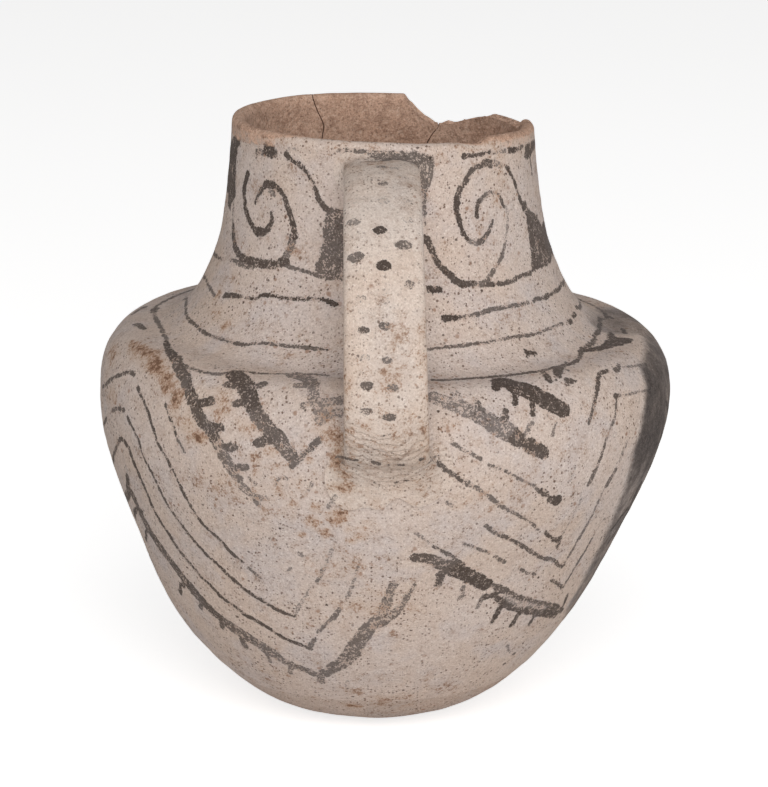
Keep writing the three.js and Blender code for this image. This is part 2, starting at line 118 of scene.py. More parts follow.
# The strap handle
STRAP_TOP_WIDTH = 19.6
STRAP_FOOT_WIDTH = 22.2
STRAP_THICKNESS = 7
STRAP_BELOW_RIM = 7.4
STRAP_RISE = 2.5
STRAP_STAND_OFF = 9.4
STRAP_BEND_HEIGHT = 16
STRAP_FOOT_HEIGHT = 90
STRAP_TOP_SIDESTEP = -0.7
STRAP_FOOT_SIDESTEP = 0.4
STRAP_ROOT = 3
STRAP_START_REACH = 0.62
STRAP_BEND_REACH = 0.55
STRAP_TURN_IN = 0.6
STRAP_FOOT_REACH = 0.5
STRAP_SUNK = 1.6  # how deep its ends lie in the wall
PAD_RADIUS = 11.2
PAD_RISE = 5.4
PAD_SUNK = 0.25  # how deep the edge of its dome lies in the wall
PAD_BACK = 1.2

# Clay smeared round the strap's ends. Reach over the wall, reach up the strap and slackness of the
# fillet are given as the plain value, and what comes on top on the strap's outer and on its inner side.
SMEARS = {
    "handle_top_smear": dict(wall=(3.4, -1.2), strap=(4.2,), slack=(0.05,), soil=0.1),
    "handle_foot_smear": dict(wall=(4.6, 5.0, -1.4), strap=(6.0, 4.0), slack=(0, 0.22), soil=0.25),
}
SMEAR_SUNK = 0.12  # how deep its edge lies in the wall
SMEAR_HOLLOW = 0.35  # how far the fillet's corner stands off the wall and the strap
SMEAR_BEHIND = (1.2, 1.4)  # how far its hidden line lies inside the strap's edge and in the wall
SMEAR_ON_STRAP = (0.985, 0.965)  # where its upper edge lies, as shares of the strap's width and thickness

# How deep each surface is worked by the hand and by the scraper
WORKING = {"wall": (0.5, 0.16), "strap": (0.45, 0.14), "smear": (0.5, 0.3), "pad": (0.6, 0.3)}
STRAP_EDGE_WORKING = 0.4  # how much the strap's edges are worked sideways
SPALL_DEPTH = 0.35
WALL_CORNER = 38  # edges that turn more than this, in degrees, are shaded sharp
CLAY_CORNER = 60  # the same for the strap, the smears and the pad
MERGE_DISTANCE = 0.001  # points of the wall that are closer than this are one

# The photo's camera: about a metre away, looking down a little
CAMERA_PLACE = (0, -1.0, 0.34467)
CAMERA_PITCH = 14.43

# Fineness of the meshes: points round, along and across
RING_STEPS = 120
CURVE_STEPS = 5
COLUMNS = 840
BASE_COLUMNS = 420
ROW = 0.56
INNER_ROW = 1.2
LIP_STEPS = 16
STRAP_COLUMNS = 96
SMEAR_COLUMNS = 220
SMEAR_ROWS = 18
PAD_COLUMNS = 120
PAD_RINGS = 22


# Helpers for numbers

def smooth(value, start, end):
    share = np.clip((value - start) / (end - start), 0, 1)
    return share * share * (3 - 2 * share)


def catmull_rom(points, steps):
    """A centripetal Catmull-Rom curve through the points, its ends reflected."""
    points = np.asarray(points, float)
    knots = np.vstack([2 * points[0] - points[1], points, 2 * points[-1] - points[-2]])
    pieces = []
    for i in range(1, len(knots) - 2):
        p0, p1, p2, p3 = knots[i - 1:i + 3]
        t1 = np.linalg.norm(p1 - p0) ** 0.5
        t2 = t1 + np.linalg.norm(p2 - p1) ** 0.5
        t3 = t2 + np.linalg.norm(p3 - p2) ** 0.5
        t = np.linspace(t1, t2, steps, endpoint=False)[:, None]
        a1 = ((t1 - t) * p0 + t * p1) / t1
        a2 = ((t2 - t) * p1 + (t - t1) * p2) / (t2 - t1)
        a3 = ((t3 - t) * p2 + (t - t2) * p3) / (t3 - t2)
        b1 = ((t2 - t) * a1 + t * a2) / t2
        b2 = ((t3 - t) * a2 + (t - t1) * a3) / (t3 - t1)
        pieces.append(((t2 - t) * b1 + (t - t1) * b2) / (t2 - t1))
    return np.vstack(pieces + [points[-1:]])


def lengths_along(points):
    return np.concatenate([[0], np.cumsum(np.linalg.norm(np.diff(points, axis=0), axis=1))])


# The outer face

class Outline:
    """A smooth line through rings, followed by its length."""

    def __init__(self, rings):
        self.points = catmull_rom(rings, RING_STEPS)
        self.reach = lengths_along(self.points)
        self.along = np.gradient(self.points, self.reach, axis=0)
        self.ring_reach = self.reach[::RING_STEPS]

    def at(self, reach):
        """Radius, height and the way out of the wall."""
        radius, height = (np.interp(reach, self.reach, self.points[:, i]) for i in (0, 1))
        along_r, along_z = (np.interp(reach, self.reach, self.along[:, i]) for i in (0, 1))
        size = np.hypot(along_r, along_z)
        return radius, height, along_z / size, -along_r / size


OUTLINE = Outline(list(RINGS.values()))
OUTLINE_LENGTH = OUTLINE.reach[-1]
outline_at = OUTLINE.at


def reach_at_height(height):
    return np.interp(height, OUTLINE.points[:, 1], OUTLINE.reach)


def ring_reach(name):
    return float(reach_at_height(RINGS[name][1]))


def wall_at(reach):
    lower = BASE_WALL + (BODY_WALL - BASE_WALL) * smooth(reach, 0, ring_reach("low_flank"))
    return lower + (RIM_WALL - BODY_WALL) * smooth(reach, ring_reach("neck"), OUTLINE_LENGTH)


def lean_at(height):
    out = LEAN * smooth(height, RINGS["bowl"][1], RINGS["belly"][1])
    return out - NECK_SETBACK * smooth(height, RINGS["shoulder"][1], RIM_HEIGHT)


def dip_at(height):
    shoulder = SHOULDER_DIP * smooth(height, RINGS["under_belly"][1], RINGS["shoulder"][1])
    return shoulder + RIM_DIP * smooth(height, RINGS["neck"][1], RIM_HEIGHT)


def on_pot(radius, turn, height):
    """Points of the leant and dipped pot, from radius, degrees round from the handle and height."""
    angle = np.radians(turn)
    x = radius * np.sin(angle)
    y = -radius * np.cos(angle)
    return np.stack([x + lean_at(height), y, height - dip_at(height) * x], -1)


def wall_point(turn, reach, out=0.0, outline=OUTLINE):
    """A point a distance out from the outer face."""
    radius, height, out_r, out_z = outline.at(reach)
    return on_pot(radius + out * out_r, turn, height + out * out_z)


def place_on_wall(points):
    """Degrees round and reach of points near the wall."""
    turn = np.degrees(np.arctan2(points[:, 0] - lean_at(points[:, 2]), -points[:, 1]))
    height = points[:, 2] + dip_at(points[:, 2]) * points[:, 0]
    return turn, reach_at_height(height)


# Meshes and modifiers

def set_attribute(mesh, name, values):
    layer = mesh.attributes.get(name) or mesh.attributes.new(name, "FLOAT", "POINT")
    layer.data.foreach_set("value", np.asarray(values, np.float32))


def get_attribute(mesh, name):
    values = np.zeros(len(mesh.vertices), np.float32)
    mesh.attributes[name].data.foreach_get("value", values)
    return values.astype(float)


def vertex_points(mesh):
    points = np.zeros(len(mesh.vertices) * 3, np.float32)
    mesh.vertices.foreach_get("co", points)
    return points.reshape(-1, 3).astype(float)


def link(name, mesh):
    piece = bpy.data.objects.new(name, mesh)
    bpy.context.scene.collection.objects.link(piece)
    return piece


def grid_faces(rows, columns, wrap_rows):
    """Quads of a grid that closes along its rows; its points are numbered row by row."""
    row = np.arange(rows if wrap_rows else rows - 1)[:, None]
    column = np.arange(columns)[None]
    next_row = (row + 1) % rows
    next_column = (column + 1) % columns
    corners = [row * columns + column, row * columns + next_column,
               next_row * columns + next_column, next_row * columns + column]
    return np.stack([np.broadcast_to(c, corners[0].shape).ravel() for c in corners], -1)


def mesh_of(name, points, faces):
    mesh = bpy.data.meshes.new(name)
    mesh.from_pydata(np.asarray(points, float).tolist(), [], [tuple(f) for f in faces])
    mesh.update()
    return mesh


def face_out(mesh):
    """Turns a closed mesh's faces outwards, going by its volume."""
    mesh.calc_loop_triangles()
    corners = np.zeros(len(mesh.loop_triangles) * 3, np.int32)
    mesh.loop_triangles.foreach_get("vertices", corners)
    a, b, c = np.moveaxis(vertex_points(mesh)[corners.reshape(-1, 3)], 1, 0)
    if np.einsum("ij,ij->i", a, np.cross(b, c)).sum() < 0:
        mesh.flip_normals()
    mesh.update()


class Nodes:
    """A node tree being built. Inputs are given by socket name or number."""

    def __init__(self, tree):
        self.tree = tree

    def node(self, kind, inputs=None, **settings):
        made = self.tree.nodes.new(kind)
        for key, value in settings.items():
            setattr(made, key, value)
        for key, value in (inputs or {}).items():
            socket = made.inputs[key]
            if isinstance(value, bpy.types.NodeSocket):
                self.tree.links.new(value, socket)
            else:
                socket.default_value = value
        return made

    def math(self, operation, *values):
        inputs = dict(enumerate(values))
        return self.node("ShaderNodeMath", inputs, operation=operation).outputs[0]

    def vector(self, operation, *values):
        inputs = dict(enumerate(values))
        return self.node("ShaderNodeVectorMath", inputs, operation=operation).outputs[0]

    def remap(self, value, start, end, low=0.0, high=1.0, kind="LINEAR"):
        inputs = {"Value": value, "From Min": start, "From Max": end, "To Min": low, "To Max": high}
        made = self.node("ShaderNodeMapRange", inputs, interpolation_type=kind)
        return made.outputs[0]

    def noise(self, place, size, detail=2.0, roughness=0.5):
        """Noise from 0 to 1 whose features have a size in millimetres."""
        inputs = {"Vector": place, "Scale": 1 / (size * MM), "Detail": detail, "Roughness": roughness}
        return self.node("ShaderNodeTexNoise", inputs).outputs[0]

    def cells(self, place, size):
        """Cells about a size in millimetres across."""
        inputs = {"Vector": place, "Scale": 1 / (size * MM)}
        return self.node("ShaderNodeTexVoronoi", inputs)

    def mix(self, share, first, second):
        made = self.node("ShaderNodeMix", data_type="RGBA")
        for number, value in ((0, share), (6, first), (7, second)):
            if isinstance(value, bpy.types.NodeSocket):
                self.tree.links.new(value, made.inputs[number])
            else:
                made.inputs[number].default_value = value
        return made.outputs[2]


def cleared(owner):
    """The empty node tree of a material or a world."""
    owner.use_nodes = True
    owner.node_tree.nodes.clear()
    return owner.node_tree


def working(surface):
    """A tree's settings for how deep a surface is worked."""
    undulation, scrape = WORKING[surface]
    return {"Undulation": undulation * MM, "Scrape": scrape * MM}


# Geometry Nodes: a section of clay turned round the pot's axis

def group_with(name, sockets):
    """A geometry tree with its inputs, and the node that gives them."""
    tree = bpy.data.node_groups.new(name, "GeometryNodeTree")
    tree.interface.new_socket("Geometry", in_out="INPUT", socket_type="NodeSocketGeometry")
    tree.interface.new_socket("Geometry", in_out="OUTPUT", socket_type="NodeSocketGeometry")
    for label, kind in sockets:
        tree.interface.new_socket(label, in_out="INPUT", socket_type=f"NodeSocket{kind}")
    return Nodes(tree), tree.nodes.new("NodeGroupInput").outputs


def finish_group(nodes, geometry, material):
    realized = nodes.node("GeometryNodeRealizeInstances", {"Geometry": geometry}).outputs[0]
    dressed = nodes.node("GeometryNodeSetMaterial", {"Geometry": realized, "Material": material})
    output = nodes.tree.nodes.new("NodeGroupOutput")
    nodes.tree.links.new(dressed.outputs[0], output.inputs[0])
    return nodes.tree


def stored(nodes, geometry, name, value):
    made = nodes.node("GeometryNodeStoreNamedAttribute", {"Geometry": geometry, "Name": name},
                      data_type="FLOAT", domain="POINT")
    nodes.tree.links.new(value, made.inputs["Value"])
    return made.outputs[0]


def named(nodes, name):
    made = nodes.node("GeometryNodeInputNamedAttribute", {"Name": name}, data_type="FLOAT")
    return made.outputs[0]


def smooth_but_for_corners(nodes, geometry, corner):
    """Shades a mesh smooth, and keeps the edges sharp that turn more than a corner, in degrees."""
    shaded = nodes.node("GeometryNodeSetShadeSmooth", {"Geometry": geometry}, domain="FACE")
    angle = nodes.node("GeometryNodeInputMeshEdgeAngle").outputs[0]
    soft = nodes.node("FunctionNodeCompare", {"A": angle, "B": math.radians(corner)},
                      data_type="FLOAT", operation="LESS_THAN").outputs[0]
    edged = nodes.node("GeometryNodeSetShadeSmooth",
                       {"Geometry": shaded.outputs[0], "Shade Smooth": soft}, domain="EDGE")
    return edged.outputs[0]


def gone_from_rim(nodes, turn):
    """How much of the rim is gone at an angle, in metres, by straight stretches between the points."""
    curve = nodes.node("ShaderNodeFloatCurve", {"Value": nodes.math("DIVIDE", turn, 360.0)})
    line = curve.mapping.curves[0]
    deepest = max(depth for _, depth in BREAK)
    line.points[0].location = (0, 0)
    line.points[1].location = (1, 0)
    for degrees, depth in BREAK:
        line.points.new(degrees / 360, depth / deepest)
    for point in line.points:
        point.handle_type = "VECTOR"
    curve.mapping.update()
    return nodes.math("MULTIPLY", curve.outputs[0], deepest * MM)


def swept_round(nodes, given):
    """Sweeps the section round a ring or an arc, and stores how far round each point is."""
    index = nodes.node("GeometryNodeInputIndex").outputs[0]
    share = nodes.math("DIVIDE", index, given["Columns"])
    circle = nodes.node("GeometryNodeCurvePrimitiveCircle", {"Resolution": given["Columns"]})
    line = nodes.node("GeometryNodeCurvePrimitiveLine")
    count = nodes.math("ADD", given["Columns"], 1.0)
    arc = nodes.node("GeometryNodeResampleCurve", {"Curve": line.outputs[0], "Count": count})
    rail = nodes.node("GeometryNodeSwitch",
                      {"Switch": given["Closed"], "False": arc.outputs[0], "True": circle.outputs[0]},
                      input_type="GEOMETRY").outputs[0]
    rail = stored(nodes, rail, "share_round", share)
    section = nodes.node("GeometryNodeMeshToCurve", {"Mesh": given["Geometry"]}).outputs[0]
    open_ended = nodes.node("FunctionNodeBooleanMath", {0: given["Closed"]}, operation="NOT").outputs[0]
    swept = nodes.node("GeometryNodeCurveToMesh",
                       {"Curve": rail, "Profile Curve": section, "Fill Caps": open_ended}).outputs[0]
    first, last = named(nodes, "first_turn"), named(nodes, "last_turn")
    span = nodes.math("SUBTRACT", last, first)
    turn = nodes.math("MULTIPLY_ADD", named(nodes, "share_round"), span, first)
    return stored(nodes, swept, "turn", turn)


def broken_rim(nodes, place, turn, height):
    """How far the wall sinks under the broken rim, how far its lip is flattened, and its teeth."""
    gone = gone_from_rim(nodes, nodes.math("FLOORED_MODULO", turn, 360.0))
    fade_start, fade_end = (loss * MM for loss in BREAK_FADE)
    broken = nodes.remap(gone, fade_start, fade_end)
    ragged = nodes.noise(place, 1.6, detail=4.0, roughness=0.65)
    ragged = nodes.remap(ragged, 0.25, 0.75, -TOOTH * MM, TOOTH * MM)
    sound = (RIM_HEIGHT - BREAK_REACH) * MM
    above = nodes.math("MAXIMUM", nodes.math("SUBTRACT", height, sound), 0.0)
    sunk = nodes.math("MULTIPLY", above, nodes.math("DIVIDE", gone, BREAK_REACH * MM))
    flattened = nodes.math("MULTIPLY", named(nodes, "lip"), broken)
    fretted = nodes.math("MULTIPLY", nodes.math("MULTIPLY", ragged, broken), named(nodes, "tooth"))
    return sunk, flattened, fretted


def worked_wall(nodes, given, place):
    """How far the face is pushed in by the hand, the scraper and small spalls."""
    seeded = nodes.node("ShaderNodeCombineXYZ", {0: given["Seed"], 1: given["Seed"]}).outputs[0]
    grain_place = nodes.vector("ADD", place, seeded)
    swell = nodes.remap(nodes.noise(grain_place, 34, detail=2.0), 0.25, 0.75, -1.0, 0.0)
    flat = nodes.node("ShaderNodeVectorMath", {0: grain_place, 1: (1.0, 1.0, 2.6)},
                      operation="MULTIPLY").outputs[0]
    scrape = nodes.remap(nodes.noise(flat, 9, detail=3.0, roughness=0.45), 0.3, 0.7, -1.0, 0.0)
    spall_cells = nodes.cells(grain_place, 7).outputs[0]
    spalls = nodes.remap(spall_cells, 0.02, 0.17, 1.0, 0.0, kind="SMOOTHSTEP")
    sparse = nodes.remap(nodes.noise(grain_place, 16, detail=1.0), 0.52, 0.6)
    worked = nodes.math("MULTIPLY", swell, given["Undulation"])
    worked = nodes.math("MULTIPLY_ADD", scrape, given["Scrape"], worked)
    pitted = nodes.math("MULTIPLY", nodes.math("MULTIPLY", spalls, sparse), given["Spall Depth"])
    worked = nodes.math("SUBTRACT", worked, pitted)
    return nodes.math("MULTIPLY", worked, named(nodes, "worked"))


def turned_clay_tree():
    """Turns a section round the axis, warps it as the hand-built pot is, and gives it a worked surface.
    The section carries, for each point, its radius, height, way out, first and last turn, lip and tooth."""
    nodes, given = group_with("turned_clay", [
        ("Columns", "Int"), ("Closed", "Bool"), ("Lean", "Float"), ("Neck Setback", "Float"),
        ("Shoulder Dip", "Float"), ("Rim Dip", "Float"), ("Undulation", "Float"), ("Scrape", "Float"),
        ("Spall Depth", "Float"), ("Seed", "Float"), ("Material", "Material"),
    ])
    swept = swept_round(nodes, given)
    turn, height = named(nodes, "turn"), named(nodes, "height")
    angle = nodes.math("RADIANS", turn)
    sine, cosine = nodes.math("SINE", angle), nodes.math("COSINE", angle)

    def turned(around, up):
        x = nodes.math("MULTIPLY", around, sine)
        y = nodes.math("MULTIPLY", nodes.math("MULTIPLY", around, cosine), -1.0)
        return x, nodes.node("ShaderNodeCombineXYZ", {0: x, 1: y, 2: up}).outputs[0]

    def rise(low, high, amount):
        edges = [RINGS[name][1] * MM if name in RINGS else RIM_HEIGHT * MM for name in (low, high)]
        return nodes.remap(height, edges[0], edges[1], 0.0, amount, kind="SMOOTHSTEP")

    x, place = turned(named(nodes, "from_axis"), height)
    sunk, flattened, fretted = broken_rim(nodes, place, turn, height)
    lean = nodes.math("SUBTRACT", rise("bowl", "belly", given["Lean"]),
                      rise("shoulder", "rim", given["Neck Setback"]))
    dip = nodes.math("ADD", rise("under_belly", "shoulder", given["Shoulder Dip"]),
                     rise("neck", "rim", given["Rim Dip"]))
    drop = nodes.math("MULTIPLY_ADD", dip, x, sunk)
    drop = nodes.math("SUBTRACT", nodes.math("ADD", drop, flattened), fretted)
    shift = nodes.node("ShaderNodeCombineXYZ", {0: lean, 2: nodes.math("MULTIPLY", drop, -1.0)})
    shaped = nodes.vector("ADD", place, shift.outputs[0])
    _, outward = turned(named(nodes, "out_r"), named(nodes, "out_z"))
    depth = worked_wall(nodes, given, place)
    push = nodes.node("ShaderNodeVectorMath", {0: outward, "Scale": depth}, operation="SCALE")
    shaped = nodes.vector("ADD", shaped, push.outputs[0])
    moved = nodes.node("GeometryNodeSetPosition", {"Geometry": swept, "Position": shaped}).outputs[0]
    merged = nodes.node("GeometryNodeMergeByDistance", {"Geometry": moved, "Distance": MERGE_DISTANCE * MM})
    soft = smooth_but_for_corners(nodes, merged.outputs[0], WALL_CORNER)
    return finish_group(nodes, soft, given["Material"])


def settle(piece, tree, settings):
    """Gives a piece its tree with its inputs, and swaps the result in as a plain mesh."""
    modifier = piece.modifiers.new(tree.name, "NODES")
    modifier.node_group = tree
    for item in tree.interface.items_tree:
        if item.item_type == "SOCKET" and item.in_out == "INPUT" and item.name in settings:
            modifier[item.identifier] = settings[item.name]
    depsgraph = bpy.context.evaluated_depsgraph_get()
    made = bpy.data.meshes.new_from_object(piece.evaluated_get(depsgraph))
    piece.modifiers.remove(modifier)
    old = piece.data
    piece.data = made
    bpy.data.meshes.remove(old)
    made.name = piece.name
    return piece


# Sections of the courses

def rows(start, end, step):
    count = max(2, math.ceil(abs(end - start) / step))
    return np.linspace(start, end, count + 1)


def outer_rows(start, end):
    reach = rows(start, end, ROW)
    radius, height, out_r, out_z = outline_at(reach)
    one = np.ones_like(reach)
    return dict(reach=reach, radius=radius, height=height, out_r=out_r, out_z=out_z,
                worked=one, skin=one, lip=0 * one, tooth=0 * one)


def inner_rows(start, end):
    """Rows down the inner face, from one reach to another."""
    reach = rows(start, end, INNER_ROW)
    radius, height, out_r, out_z = outline_at(reach)
    wall = wall_at(reach)
    one = np.ones_like(reach)
    return dict(reach=reach, radius=radius - wall * out_r, height=height - wall * out_z,
                out_r=-out_r, out_z=-out_z, worked=0.8 * one, skin=0 * one, lip=0 * one, tooth=0 * one)


def lip_rows():
    """The half round of the lip, from the outer face over to the inner one."""
    radius, height, out_r, out_z = outline_at(OUTLINE_LENGTH)
    half = RIM_WALL / 2
    middle_r, middle_z = radius - half * out_r, height - half * out_z
    angle = np.linspace(0, math.pi, LIP_STEPS)[1:-1]
    side, up = np.cos(angle), np.sin(angle)
    one = np.ones_like(angle)
    return dict(reach=OUTLINE_LENGTH + half * angle, radius=middle_r + half * (side * out_r - up * out_z),
                height=middle_z + half * (side * out_z + up * out_r), out_r=side * out_r - up * out_z,
                out_z=side * out_z + up * out_r, worked=one, skin=1 - angle / math.pi,
                lip=half * up, tooth=one)


def joint_rows(upper, lower):
    """Points across a joint face, between the ends of two runs of rows."""
    share = np.linspace(0, 1, 4)[1:-1]
    return {key: upper[key][-1] * (1 - share) + lower[key][0] * share for key in upper}


def closed_section(*runs):
    """One section from its runs of rows; joints are laid between the outer and the inner face."""
    return {key: np.concatenate([run[key] for run in runs]) for key in runs[0]}


def course_section(start, end):
    outer = outer_rows(start, end)
    inner = inner_rows(end + LAP, start + LAP)
    return closed_section(outer, joint_rows(outer, inner), inner, joint_rows(inner, outer))


def rim_section(start):
    outer = outer_rows(start, OUTLINE_LENGTH)
    inner = inner_rows(OUTLINE_LENGTH, start + LAP)
    return closed_section(outer, lip_rows(), inner, joint_rows(inner, outer))


def base_section(end):
    """The base pat from the middle of the resting face round to the middle of the floor inside."""
    outer = outer_rows(0, end)
    inner = inner_rows(end + LAP, 0)
    rings = 6
    one = np.ones(rings)
    under = dict(reach=0 * one, radius=np.linspace(0, RINGS["foot"][0], rings + 1)[:-1], height=0 * one,
                 out_r=0 * one, out_z=-one, worked=0 * one, skin=one, lip=0 * one, tooth=0 * one)
    floor = dict(under, radius=inner["radius"][-1] * np.linspace(1, 0, rings + 1)[1:], height=BASE_WALL * one,
                 out_z=one, skin=0 * one, worked=0.5 * one)
    return closed_section(under, outer, joint_rows(outer, inner), inner, floor)


def crack_turn(crack, side, section, aside):
    """Degrees round at which a crack crosses each point of a section, on the far side of the neck."""
    distance = np.interp(RIM_HEIGHT - section["height"], *np.transpose(crack)) + aside
    return 180 - side * np.degrees(np.arcsin(distance / section["radius"]))


def turn_section(name, section, tree, material, columns, first=0.0, last=360.0):
    """Turns a section into a piece of the pot. Its ends are angles, or one angle for each point."""
    count = len(section["radius"])
    points = np.stack([section["radius"], 0 * section["radius"], section["height"]], -1) * MM
    mesh = bpy.data.meshes.new(name)
    closed = section["radius"][0] > 0
    edges = [(i, (i + 1) % count) for i in range(count if closed else count - 1)]
    mesh.from_pydata(points.tolist(), edges, [])
    set_attribute(mesh, "from_axis", section["radius"] * MM)
    for key in ("height", "lip"):
        set_attribute(mesh, key, section[key] * MM)
    for key in ("out_r", "out_z", "reach", "skin", "worked", "tooth"):
        set_attribute(mesh, key, section[key])
    set_attribute(mesh, "first_turn", np.broadcast_to(first, count))
    set_attribute(mesh, "last_turn", np.broadcast_to(last, count))
    whole = np.ndim(first) == 0
    piece = settle(link(f"{name}_clay", mesh), tree, {
        "Columns": columns, "Closed": whole, "Lean": LEAN * MM, "Neck Setback": NECK_SETBACK * MM,
        "Shoulder Dip": SHOULDER_DIP, "Rim Dip": RIM_DIP, "Spall Depth": SPALL_DEPTH * MM, "Seed": 0.0,
        "Material": material, **working("wall"),
    })
    face_out(piece.data)
    piece["node"] = name
    return piece


# The strap: a crowned section swept along its path

def out_from(face_reach, distance):
    """A point of the plane x = 0 straight out of the wall on the handle's side, as y and z."""
    radius, height, out_r, out_z = outline_at(face_reach)
    return np.array([-(radius + distance * out_r), height + distance * out_z])


def bezier(corners, steps):
    t = np.linspace(0, 1, steps)[:, None]
    a, b, c, d = corners
    return (1 - t) ** 3 * a + 3 * (1 - t) ** 2 * t * b + 3 * (1 - t) * t * t * c + t ** 3 * d


TOP_REACH = float(reach_at_height(RIM_HEIGHT - STRAP_BELOW_RIM))
FOOT_REACH = float(reach_at_height(STRAP_FOOT_HEIGHT))


def strap_path():
    """The strap's middle line: out from under the rim, down to the bend and in to the belly."""
    foot_height = float(outline_at(FOOT_REACH)[1])
    top_radius, top_height = (float(value) for value in outline_at(TOP_REACH)[:2])
    belly = max(radius for radius, _ in RINGS.values())
    bend = np.array([-belly - STRAP_STAND_OFF, foot_height + STRAP_BEND_HEIGHT])
    span = -bend[0] - top_radius
    up = np.array([0, 1])
    upper = [out_from(TOP_REACH, -STRAP_ROOT),
             out_from(TOP_REACH, STRAP_START_REACH * span) + STRAP_RISE * up,
             bend + STRAP_BEND_REACH * (top_height - bend[1]) * up, bend]
    lower = [bend, bend - STRAP_TURN_IN * STRAP_BEND_HEIGHT * up,
             out_from(FOOT_REACH, STRAP_FOOT_REACH * STRAP_STAND_OFF),
             out_from(FOOT_REACH, -STRAP_ROOT)]
    return np.vstack([bezier(upper, 300), bezier(lower, 150)[1:]])


PATH = strap_path()
PATH_REACH = lengths_along(PATH)
PATH_LENGTH = PATH_REACH[-1]
PATH_ALONG = np.gradient(PATH, PATH_REACH, axis=0)
TOP_ASIDE = STRAP_TOP_SIDESTEP + float(lean_at(outline_at(TOP_REACH)[1]))
FOOT_ASIDE = STRAP_FOOT_SIDESTEP + float(lean_at(outline_at(FOOT_REACH)[1]))


def strap_frame(length):
    """Middle, way along, sidestep and width of the strap at a length along it."""
    middle = np.stack([np.interp(length, PATH_REACH, PATH[:, i]) for i in (0, 1)], -1)
    along = np.stack([np.interp(length, PATH_REACH, PATH_ALONG[:, i]) for i in (0, 1)], -1)
    along /= np.linalg.norm(along, axis=-1, keepdims=True)
    share = np.clip(length / PATH_LENGTH, 0, 1)
    aside = TOP_ASIDE + (FOOT_ASIDE - TOP_ASIDE) * share
    width = STRAP_TOP_WIDTH + (STRAP_FOOT_WIDTH - STRAP_TOP_WIDTH) * share
    return middle, along, aside, width


def strap_point(length, across, out):
    """A point of the strap; across and out run from -1 to 1 over its width and its thickness."""
    middle, along, aside, width = strap_frame(length)
    half = STRAP_THICKNESS / 2
    x = aside + across * width / 2
    y = middle[..., 0] + out * half * along[..., 1]
    z = middle[..., 1] - out * half * along[..., 0]
    return np.stack([x, y, z], -1)


def strap_outline(count):
    """The crowned cross-section, evenly spaced: across, out and the way out of its edge."""
    angle = np.linspace(0, 2 * math.pi, 4 * 360 + 1)
    fullness = 2 / 3  # 1 would be an ellipse, 0 a rectangle
    across = np.sign(np.cos(angle)) * np.abs(np.cos(angle)) ** fullness
    out = np.sign(np.sin(angle)) * np.abs(np.sin(angle)) ** fullness
    flat = np.stack([across * STRAP_TOP_WIDTH / 2, out * STRAP_THICKNESS / 2], -1)
    round_length = lengths_along(flat)
    at = np.linspace(0, round_length[-1], count + 1)[:-1]
    across, out, x, y = (np.interp(at, round_length, v) for v in (across, out, *flat.T))
    normal = np.stack([np.roll(y, -1) - np.roll(y, 1), np.roll(x, 1) - np.roll(x, -1)], -1)
    normal /= np.linalg.norm(normal, axis=-1, keepdims=True)
    return across, out, normal


def worked_depth(nodes, given, place):
    """How far a place is worked down by the hand that smoothed it."""
    swell = nodes.remap(nodes.noise(place, 12, detail=2.0), 0.25, 0.75, -1.0, 0.0)
    fine = nodes.remap(nodes.noise(place, 3, detail=3.0), 0.3, 0.7, -1.0, 0.0)
    worked = nodes.math("MULTIPLY", swell, given["Undulation"])
    return nodes.math("MULTIPLY_ADD", fine, given["Scrape"], worked)


def swept_strap_tree():
    """Sweeps the strap's section along its path. The path carries its middle, its way along, its
    sidestep and its width, and the section how far it is across and out."""
    nodes, given = group_with("swept_strap", [
        ("Section", "Object"), ("Thickness", "Float"), ("Undulation", "Float"), ("Scrape", "Float"),
        ("Material", "Material"),
    ])
    rail = nodes.node("GeometryNodeMeshToCurve", {"Mesh": given["Geometry"]}).outputs[0]
    section = nodes.node("GeometryNodeObjectInfo", {"Object": given["Section"]}).outputs["Geometry"]
    section = nodes.node("GeometryNodeMeshToCurve", {"Mesh": section}).outputs[0]
    swept = nodes.node("GeometryNodeCurveToMesh",
                       {"Curve": rail, "Profile Curve": section, "Fill Caps": True}).outputs[0]
    across, out = named(nodes, "across"), named(nodes, "out")
    half_width = nodes.math("MULTIPLY", named(nodes, "width"), 0.5)
    lift = nodes.math("MULTIPLY", out, nodes.math("MULTIPLY", given["Thickness"], 0.5))
    x = nodes.math("MULTIPLY_ADD", across, half_width, named(nodes, "aside"))
    y = nodes.math("MULTIPLY_ADD", lift, named(nodes, "along_z"), named(nodes, "middle_y"))
    fall = nodes.math("MULTIPLY", lift, -1.0)
    z = nodes.math("MULTIPLY_ADD", fall, named(nodes, "along_y"), named(nodes, "middle_z"))
    place = nodes.node("ShaderNodeCombineXYZ", {0: x, 1: y, 2: z}).outputs[0]
    shaped = nodes.node("GeometryNodeSetPosition", {"Geometry": swept, "Position": place}).outputs[0]
    where = nodes.node("GeometryNodeInputPosition").outputs[0]
    outward = nodes.node("ShaderNodeCombineXYZ", {
        0: nodes.math("MULTIPLY", across, STRAP_EDGE_WORKING),
        1: nodes.math("MULTIPLY", out, named(nodes, "along_z")),
        2: nodes.math("MULTIPLY", out, nodes.math("MULTIPLY", named(nodes, "along_y"), -1.0)),
    }).outputs[0]
    push = nodes.node("ShaderNodeVectorMath",
                      {0: outward, "Scale": worked_depth(nodes, given, where)}, operation="SCALE")
    worked = nodes.node("GeometryNodeSetPosition", {"Geometry": shaped, "Offset": push.outputs[0]})
    soft = smooth_but_for_corners(nodes, worked.outputs[0], CLAY_CORNER)
    return finish_group(nodes, soft, given["Material"])


